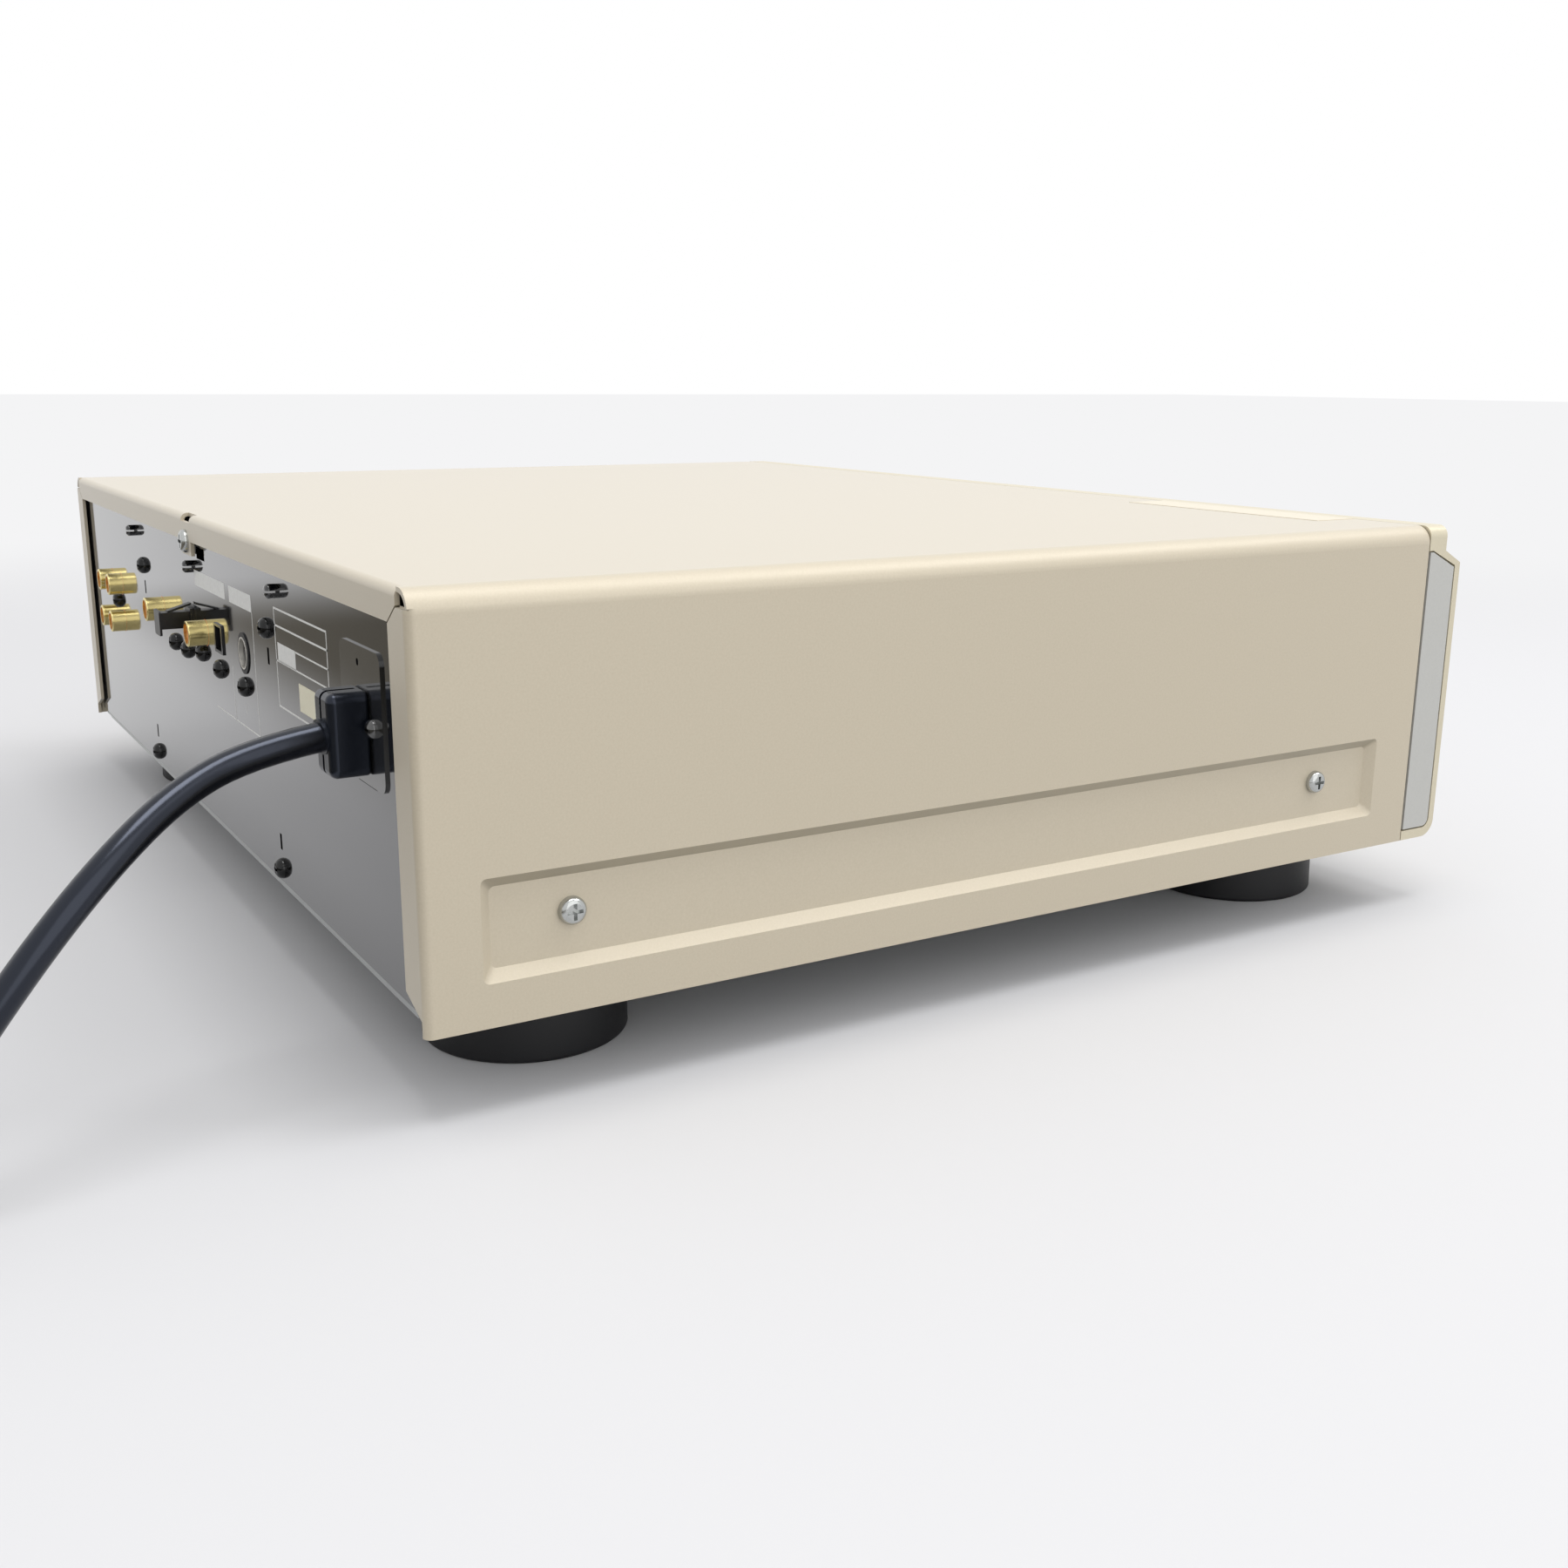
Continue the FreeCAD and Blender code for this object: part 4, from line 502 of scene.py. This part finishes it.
def bar_ink(bars, y_from, y_to):
    """Thin boxes between two Y values. A bar is x low, x high, z low, z high, in mm."""
    ink = bmesh.new()
    for x_low, x_high, z_low, z_high in bars:
        low = Vector((x_low * MM, y_from, case_z + z_low * MM))
        high = Vector((x_high * MM, y_to, case_z + z_high * MM))
        place = Matrix.Translation((low + high) / 2) @ Matrix.Diagonal((*(high - low), 1.0))
        bmesh.ops.create_cube(ink, size=1.0, matrix=place)
    return ink


def frame_bars(x_low, x_high, z_low, z_high, wide):
    """The four sides of a printed frame."""
    return [(x_low, x_high, z_low, z_low + wide), (x_low, x_high, z_high - wide, z_high),
            (x_low, x_low + wide, z_low + wide, z_high - wide),
            (x_high - wide, x_high, z_low + wide, z_high - wide)]


# %% The rear print
worn_ink, tree, shader = new_material("worn_white_ink", {"IOR": 1.5})
mottle(tree, shader, ("D2D2CE", "EFEFEC"), 1.2, rough=(0.4, 0.55))
thin, thick = 0.45, 0.55                        # widths of the printed lines, in mm
ink_sunk, ink_height = 0.05 * MM, 0.03 * MM
lines = frame_bars(-147.0, -96.5, 56.7, 84.7, thick)                     # the label's frame
lines += [(-147.0, -96.5, 79.4, 79.4 + thick), (-147.0, -116.7, 74.6, 74.6 + thin),
          (-147.0, -96.5, 69.6, 69.6 + thin)]                            # its rules
lines += [(-116.4, -98.7, 69.9, 75.1)]                                   # its bare patch
lines += [(-71.9, -71.5, 43.0, 79.8), (-71.5, -18.0, 43.0, 43.0 + thin),
          (-43.4, -43.0, 43.0, 60.0), (-57.3, -56.9, 47.4, 50.4)]        # round the sockets
lines += [(-39.4, 1.7, 79.8, 84.8), (-71.5, -44.9, 79.8, 84.8)]          # two blank headings
printed_piece("rear_print", bar_ink(lines, rear_y - ink_sunk, rear_y + ink_height), worn_ink)

# %% [markdown]
# ## What repeats: ticks, knurls and display dots
# Scale ticks round a knob, the ridges of a knurled grip and the dots of a display are each one
# small shape repeated by a rule, which is what Geometry Nodes are for. The first tree places
# blocks or rods on an arc; its inputs are real sizes, so the same tree makes a fine knurl and a
# coarse scale.


# %% A tree for shapes on an arc
def add_input(tree, name, kind, value):
    """A named input of a node tree. A modifier needs the identifier that this returns."""
    socket = tree.interface.new_socket(name=name, in_out="INPUT", socket_type=kind)
    if value is not None:
        socket.default_value = value
    return socket.identifier


def arc_tree(shape):
    """Blocks or rods on an arc round the Y axis, as seen from the front."""
    tree = bpy.data.node_groups.new("arc_of_" + shape, "GeometryNodeTree")
    tree.interface.new_socket(name="Geometry", in_out="OUTPUT", socket_type="NodeSocketGeometry")
    names = {}
    for name, kind, value in (("Count", "NodeSocketInt", 12), ("Radius", "NodeSocketFloat", 0.01),
                              ("Start", "NodeSocketFloat", 0.0), ("Step", "NodeSocketFloat", 0.5),
                              ("Size", "NodeSocketVector", (0.001, 0.001, 0.001)),
                              ("Centre", "NodeSocketVector", (0.0, 0.0, 0.0)),
                              ("Finish", "NodeSocketMaterial", None)):
        names[name] = add_input(tree, name, kind, value)
    given = add(tree, "NodeGroupInput")
    index = add(tree, "GeometryNodeInputIndex").outputs[0]
    turned = add(tree, "ShaderNodeMath", {"operation": "MULTIPLY_ADD"},
                 {0: index, 1: given.outputs["Step"], 2: given.outputs["Start"]}).outputs[0]
    across = add(tree, "ShaderNodeMath", {"operation": "COSINE"}, {0: turned}).outputs[0]
    upward = add(tree, "ShaderNodeMath", {"operation": "SINE"}, {0: turned}).outputs[0]
    unit = add(tree, "ShaderNodeCombineXYZ", links={"X": across, "Y": upward}).outputs[0]
    place = add(tree, "ShaderNodeVectorMath", {"operation": "SCALE"},
                {0: unit, "Scale": given.outputs["Radius"]}).outputs[0]
    points = add(tree, "GeometryNodeMeshLine", links={"Count": given.outputs["Count"]}).outputs[0]
    moved = add(tree, "GeometryNodeSetPosition",
                links={"Geometry": points, "Position": place}).outputs[0]
    if shape == "blocks":
        single = add(tree, "GeometryNodeMeshCube", links={"Size": given.outputs["Size"]}).outputs[0]
    else:
        sizes = add(tree, "ShaderNodeSeparateXYZ", links={0: given.outputs["Size"]})
        single = add(tree, "GeometryNodeMeshCylinder", {"Vertices": 8},
                     {"Radius": sizes.outputs[0], "Depth": sizes.outputs[2]}).outputs[0]
    spin = add(tree, "ShaderNodeCombineXYZ", links={"Z": turned}).outputs[0]
    placed = add(tree, "GeometryNodeInstanceOnPoints",
                 links={"Points": moved, "Instance": single, "Rotation": spin}).outputs[0]
    solid = add(tree, "GeometryNodeRealizeInstances", links={0: placed}).outputs[0]
    facing = add(tree, "GeometryNodeTransform", {"Rotation": (math.pi / 2, 0.0, 0.0)},
                 {"Geometry": solid, "Translation": given.outputs["Centre"]}).outputs[0]
    finished = add(tree, "GeometryNodeSetMaterial",
                   links={"Geometry": facing, "Material": given.outputs["Finish"]}).outputs[0]
    add(tree, "NodeGroupOutput", links={0: finished})
    return tree, names


def grown(name, made, values, body):
    """Runs a tree once with these inputs and keeps the result as a plain mesh that rides a body."""
    tree, names = made
    host = new_object(name, bpy.data.meshes.new(name + "_start"))
    modifier = host.modifiers.new("shape", "NODES")
    modifier.node_group = tree
    for label, value in values.items():
        modifier[names[label]] = value
    result = evaluated_mesh(host)
    host.modifiers.remove(modifier)
    host.data = result
    result.name = name
    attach(host, body)
    print(name, "has", len(result.polygons), "faces")


block_arc, rod_arc = arc_tree("blocks"), arc_tree("rods")

# %% [markdown]
# A grip needs ridges close enough to feel as one texture: about one a millimetre round the large
# knob. Most of each rod is sunk in the knob, so only a rounded ridge stands out. The scale
# round a level knob has eleven ticks over 300 degrees, the travel of its shaft. The jog knob is
# smooth and turns without end, so it has neither.

# %% Knurls and scales
panel_ink, tree, shader = new_material("dark_panel_ink", {"IOR": 1.5})
mottle(tree, shader, ("4A453B", "575145"), 1.0, rough=(0.45, 0.55))
rod_radius, rod_sunk = 0.36 * MM, 0.2 * MM
bare_edge, bare_ends = 1.6 * MM, 4.2 * MM       # plain rim in front, and both plain ends together
tick_count, tick_size, scale_gap = 11, (1.8 * MM, 0.45 * MM, 0.04 * MM), 3.4 * MM
knobs = (("record_level_knob", "record_level", 96), ("phones_level_knob", "phones_level", 48),
         ("input_knob", "input_level", 48))
for node, body, ridges in knobs:
    low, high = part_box(node)
    x, z = (low.x + high.x) / 2, (low.z + high.z) / 2
    radius = (high.x - low.x) / 2
    knurl_depth = (front_y - low.y) - bare_ends
    grown(node + "_knurl", rod_arc, {
        "Count": ridges, "Radius": radius - rod_sunk, "Start": 0.0,
        "Step": 2 * math.pi / ridges, "Size": (rod_radius, rod_radius, knurl_depth),
        "Centre": (x, low.y + bare_edge + knurl_depth / 2, z), "Finish": knob_finish[node]},
        body)
    grown(node + "_scale", block_arc, {
        "Count": tick_count, "Radius": radius + scale_gap, "Start": math.radians(-60),
        "Step": math.radians(30), "Size": tick_size, "Centre": (x, front_y, z),
        "Finish": panel_ink}, "chassis")

# %% [markdown]
# ## Signs on the front
# The transport buttons carry the symbols that every player uses: a triangle for play, two bars
# for pause, a square for stop, a dot for record and a triangle on a bar for eject. They are
# printed on the panel above the buttons, so they stay where they are when one is pressed.


# %% Printed symbols
def sign_ink(outlines):
    """Flat printed shapes on the front panel. Each outline is a list of x and height, in mm."""
    ink = bmesh.new()
    for outline in outlines:
        inner, outer = [[ink.verts.new((x * MM, y, case_z + z * MM)) for x, z in outline]
                        for y in (front_y + 0.02 * MM, front_y - ink_height)]
        ink.faces.new(inner)
        ink.faces.new(list(reversed(outer)))
        for n in range(len(outline)):
            after = (n + 1) % len(outline)
            ink.faces.new((inner[n], outer[n], outer[after], inner[after]))
    bmesh.ops.recalc_face_normals(ink, faces=ink.faces)
    return ink


def middle_of(node):
    """A node's middle, as x and height above the case's bottom, in mm."""
    low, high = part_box(node)
    return (low.x + high.x) / 2 / MM, ((low.z + high.z) / 2 - case_z) / MM


def oblong(x, z, half_x, half_z):
    """The four corners of an upright oblong."""
    return [(x + across * half_x, z + up_or_down * half_z)
            for across, up_or_down in ((-1, -1), (1, -1), (1, 1), (-1, 1))]


# %% The signs above the buttons
sign_rise, power_rise, half, dot_points = 7.6, 9.0, 1.5, 24
centres = {}
for sign in ("play", "pause", "stop", "record", "eject"):
    x, z = middle_of(sign + "_button")
    centres[sign] = (x, z + sign_rise)
x, z = centres["play"]
outlines = [[(x - half, z - 1.6), (x + 1.7, z), (x - half, z + 1.6)]]
x, z = centres["pause"]
outlines += [oblong(x + aside, z, 0.45, half) for aside in (-1.0, 1.0)]
outlines += [oblong(*centres["stop"], half, half)]
x, z = centres["record"]
outlines += [[(x + half * math.cos(a), z + half * math.sin(a))
              for a in (2 * math.pi * n / dot_points for n in range(dot_points))]]
x, z = centres["eject"]
outlines += [[(x - 1.8, z - 0.4), (x + 1.8, z - 0.4), (x, z + half)], oblong(x, z - 1.3, 1.8, 0.35)]
x, z = middle_of("power_button")
outlines += [oblong(x, z + power_rise, 0.3, 1.4)]
printed_piece("front_signs", sign_ink(outlines), panel_ink)

# %% [markdown]
# ## The display
# A vacuum tube display is a glass slab with rows of small phosphor plates. Unlit, they are pale
# grey-green, and the smoked window nearly hides them. A second tree lays out a grid of plates:
# it is the rule that matters, so it takes two counts, a width and a height.


# %% A tree for a grid of plates
def grid_tree():
    """Blocks on a grid, in a plane that is turned and then moved to its place."""
    tree = bpy.data.node_groups.new("grid_of_plates", "GeometryNodeTree")
    tree.interface.new_socket(name="Geometry", in_out="OUTPUT", socket_type="NodeSocketGeometry")
    names = {}
    for name, kind, value in (("Columns", "NodeSocketInt", 4), ("Rows", "NodeSocketInt", 2),
                              ("Width", "NodeSocketFloat", 0.1),
                              ("Height", "NodeSocketFloat", 0.01),
                              ("Size", "NodeSocketVector", (0.001, 0.001, 0.001)),
                              ("Centre", "NodeSocketVector", (0.0, 0.0, 0.0)),
                              ("Turn", "NodeSocketVector", (0.0, 0.0, 0.0)),
                              ("Finish", "NodeSocketMaterial", None)):
        names[name] = add_input(tree, name, kind, value)
    given = add(tree, "NodeGroupInput")
    grid = add(tree, "GeometryNodeMeshGrid", links={
        "Size X": given.outputs["Width"], "Size Y": given.outputs["Height"],
        "Vertices X": given.outputs["Columns"], "Vertices Y": given.outputs["Rows"]}).outputs[0]
    single = add(tree, "GeometryNodeMeshCube", links={"Size": given.outputs["Size"]}).outputs[0]
    placed = add(tree, "GeometryNodeInstanceOnPoints",
                 links={"Points": grid, "Instance": single}).outputs[0]
    solid = add(tree, "GeometryNodeRealizeInstances", links={0: placed}).outputs[0]
    facing = add(tree, "GeometryNodeTransform", links={
        "Geometry": solid, "Translation": given.outputs["Centre"],
        "Rotation": given.outputs["Turn"]}).outputs[0]
    finished = add(tree, "GeometryNodeSetMaterial",
                   links={"Geometry": facing, "Material": given.outputs["Finish"]}).outputs[0]
    add(tree, "NodeGroupOutput", links={0: finished})
    return tree, names


plate_grid = grid_tree()
upright = (math.pi / 2, 0.0, 0.0)

# %% Dots and level bars of the display
low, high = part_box("display_tube")
middle_x, middle_z = (low.x + high.x) / 2, (low.z + high.z) / 2
grid_width = 100 * MM
grown("display_dots", plate_grid, {
    "Columns": 60, "Rows": 7, "Width": grid_width, "Height": 9 * MM,
    "Size": (1.2 * MM, 1.0 * MM, 0.1 * MM), "Turn": upright,
    "Centre": (middle_x, low.y, middle_z + 4 * MM), "Finish": phosphor}, "chassis")
grown("level_meter_bars", plate_grid, {
    "Columns": 32, "Rows": 2, "Width": grid_width, "Height": 4 * MM,
    "Size": (2.2 * MM, 2.0 * MM, 0.1 * MM), "Turn": upright,
    "Centre": (middle_x, low.y, middle_z - 7 * MM), "Finish": phosphor}, "chassis")

# %% [markdown]
# The wall plug is held by its sides, so the mould gives them rows of grip ridges. The same grid
# tree makes them.

# %% Grip ridges of the wall plug
low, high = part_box("mains_plug")
grip_middle = 17 * MM                           # from the low X end of the plug
for side, y in (("near", low.y), ("far", high.y)):
    grown("plug_grip_" + side, plate_grid, {
        "Columns": 7, "Rows": 1, "Width": 18 * MM, "Height": 0.0,
        "Size": (1.2 * MM, 9 * MM, 0.8 * MM), "Turn": upright,
        "Centre": (low.x + grip_middle, y, (low.z + high.z) / 2),
        "Finish": plug_pvc}, "chassis")

# %% [markdown]
# ## Floor and light
# A plain pale floor keeps the deck's shadow. It has two tones: the camera, mirrors and glass see
# a light grey, while the light that it throws up at the deck comes from a darker grey, so the
# flanges stay tan. The Light Path node tells the two kinds of ray apart.

# %% The floor and its two tones
floor_mesh = bpy.data.meshes.new("floor")
reach = 12.0
corners = [(-reach, -reach, 0), (reach, -reach, 0), (reach, reach, 0), (-reach, reach, 0)]
floor_mesh.from_pydata(corners, [], [(0, 1, 2, 3)])
floor = new_object("floor", floor_mesh)
floor_paint, tree, shader = new_material("pale_floor", {"Roughness": 0.9})


def math_node(tree, operation, *values):
    """One sum or comparison. Each value is a number or an output of another node."""
    numbers = {n: value for n, value in enumerate(values) if isinstance(value, float)}
    sources = {n: value for n, value in enumerate(values) if n not in numbers}
    return add(tree, "ShaderNodeMath", {"operation": operation, **numbers}, sources).outputs[0]


ray = add(tree, "ShaderNodeLightPath").outputs
direct = math_node(tree, "MAXIMUM", ray["Is Camera Ray"], ray["Is Glossy Ray"])
direct = math_node(tree, "MAXIMUM", direct, ray["Is Transmission Ray"])
tree.links.new(blend(tree, direct, ("9E9EA0", "D0D0D2")), shader.inputs["Base Color"])
print("floor", 2 * reach, "m wide")

# %% [markdown]
# Away from the deck the floor fades to near white, so that little of an edge is left where it
# meets the wall. In mirrors the fade starts sooner. A half-gloss black panel is only as dark as
# what it mirrors. So mirrors, and nothing else, see a painted dark patch on the floor behind the
# deck, with soft edges: a painted reflection of shade on the rear panel.


# %% The fade and the painted dark reflection
def soft_step(tree, value, start, end):
    """Goes smoothly from 0 to 1 between two places."""
    return add(tree, "ShaderNodeMapRange", {
        "interpolation_type": "SMOOTHSTEP", "From Min": start, "From Max": end},
        {"Value": value}).outputs[0]


def glow_over(tree, amount, under, colour):
    """Covers a shader with an even light of one colour, by an amount from 0 to 1."""
    light = add(tree, "ShaderNodeEmission", {"Color": tint(colour), "Strength": 1.0}).outputs[0]
    return add(tree, "ShaderNodeMixShader", links={"Fac": amount, 1: under, 2: light}).outputs[0]


sooner_in_mirrors = 1.2
fade_start, fade_end = 0.5, 1.3                 # distances from the deck's middle, in metres
painted_mirror_shade_back, painted_mirror_shade_side = (0.24, 0.34), (0.9, 0.55)   # where its soft edges run, in Y and in X
ground = add(tree, "ShaderNodeTexCoord").outputs["Object"]
away = add(tree, "ShaderNodeVectorMath", {"operation": "LENGTH"}, {0: ground}).outputs["Value"]
nearer = math_node(tree, "MULTIPLY_ADD", ray["Is Glossy Ray"], sooner_in_mirrors, 1.0)
fade = soft_step(tree, math_node(tree, "MULTIPLY", away, nearer), fade_start, fade_end)
pale = glow_over(tree, math_node(tree, "MULTIPLY", fade, direct), shader.outputs[0], "F4F4F5")
parts = add(tree, "ShaderNodeSeparateXYZ", links={0: ground}).outputs
# Painted dark reflection: a soft patch of 7F7A70 behind the deck that only glossy rays see, so the
# rear panel mirrors painted shade.
painted_mirror_shade = math_node(tree, "MULTIPLY", soft_step(tree, parts["Y"], *painted_mirror_shade_back),
                  soft_step(tree, parts["X"], *painted_mirror_shade_side))
painted_mirror_shade = math_node(tree, "MULTIPLY", painted_mirror_shade, ray["Is Glossy Ray"])
output = [node for node in tree.nodes if node.type == "OUTPUT_MATERIAL"][0]
tree.links.new(glow_over(tree, painted_mirror_shade, pale, "7F7A70"), output.inputs["Surface"])
floor_mesh.materials.append(floor_paint)
print("the floor fades between", fade_start, "and", fade_end, "m")

# %% [markdown]
# The light is a bright room: an even glow from all sides, two lamps under the ceiling and a wide
# window on the left. The camera and glass see the room as white, and mirrors nearly so, while the
# glow that falls on the deck is a little lower, so colours stay as they were written.

# %% The room's glow
world = bpy.data.worlds.new("room")
bpy.context.scene.world = world
world.use_nodes = True
tree = world.node_tree
tree.nodes.clear()
room_glow, added_in_mirrors = 0.85, 0.15
ray = add(tree, "ShaderNodeLightPath").outputs
straight = math_node(tree, "MAXIMUM", ray["Is Camera Ray"], ray["Is Transmission Ray"])
mirrored = math_node(tree, "MULTIPLY_ADD", ray["Is Glossy Ray"], added_in_mirrors, room_glow)
glow = math_node(tree, "MAXIMUM", straight, mirrored)
background = add(tree, "ShaderNodeBackground", {"Color": (1.0, 1.0, 1.0, 1.0)}, {"Strength": glow})
add(tree, "ShaderNodeOutputWorld", links={"Surface": background.outputs[0]})
bpy.context.scene.view_settings.view_transform = "Standard"
print("the room glows at", room_glow)

# %% The lamps
lamps = (("ceiling_back", (-0.35, 0.0, 2.3), (0.0, 0.0, 0.0), 1.0, 18.0),
         ("ceiling_front", (-0.75, -1.3, 1.9), (0.0, 0.0, 0.0), 0.9, 12.0),
         ("window", (-2.1, -0.2, 1.0), (0.0, 0.0, 0.1), 2.2, 12.0))
for name, place, target, size, power in lamps:
    lamp = bpy.data.lights.new(name, "AREA")
    lamp.size, lamp.energy = size, power
    stand = new_object(name, lamp)
    aim = (Vector(target) - Vector(place)).to_track_quat("-Z", "Y").to_matrix().to_4x4()
    stand.matrix_world = Matrix.Translation(place) @ aim
print("lamps:", ", ".join(lamp[0] for lamp in lamps))
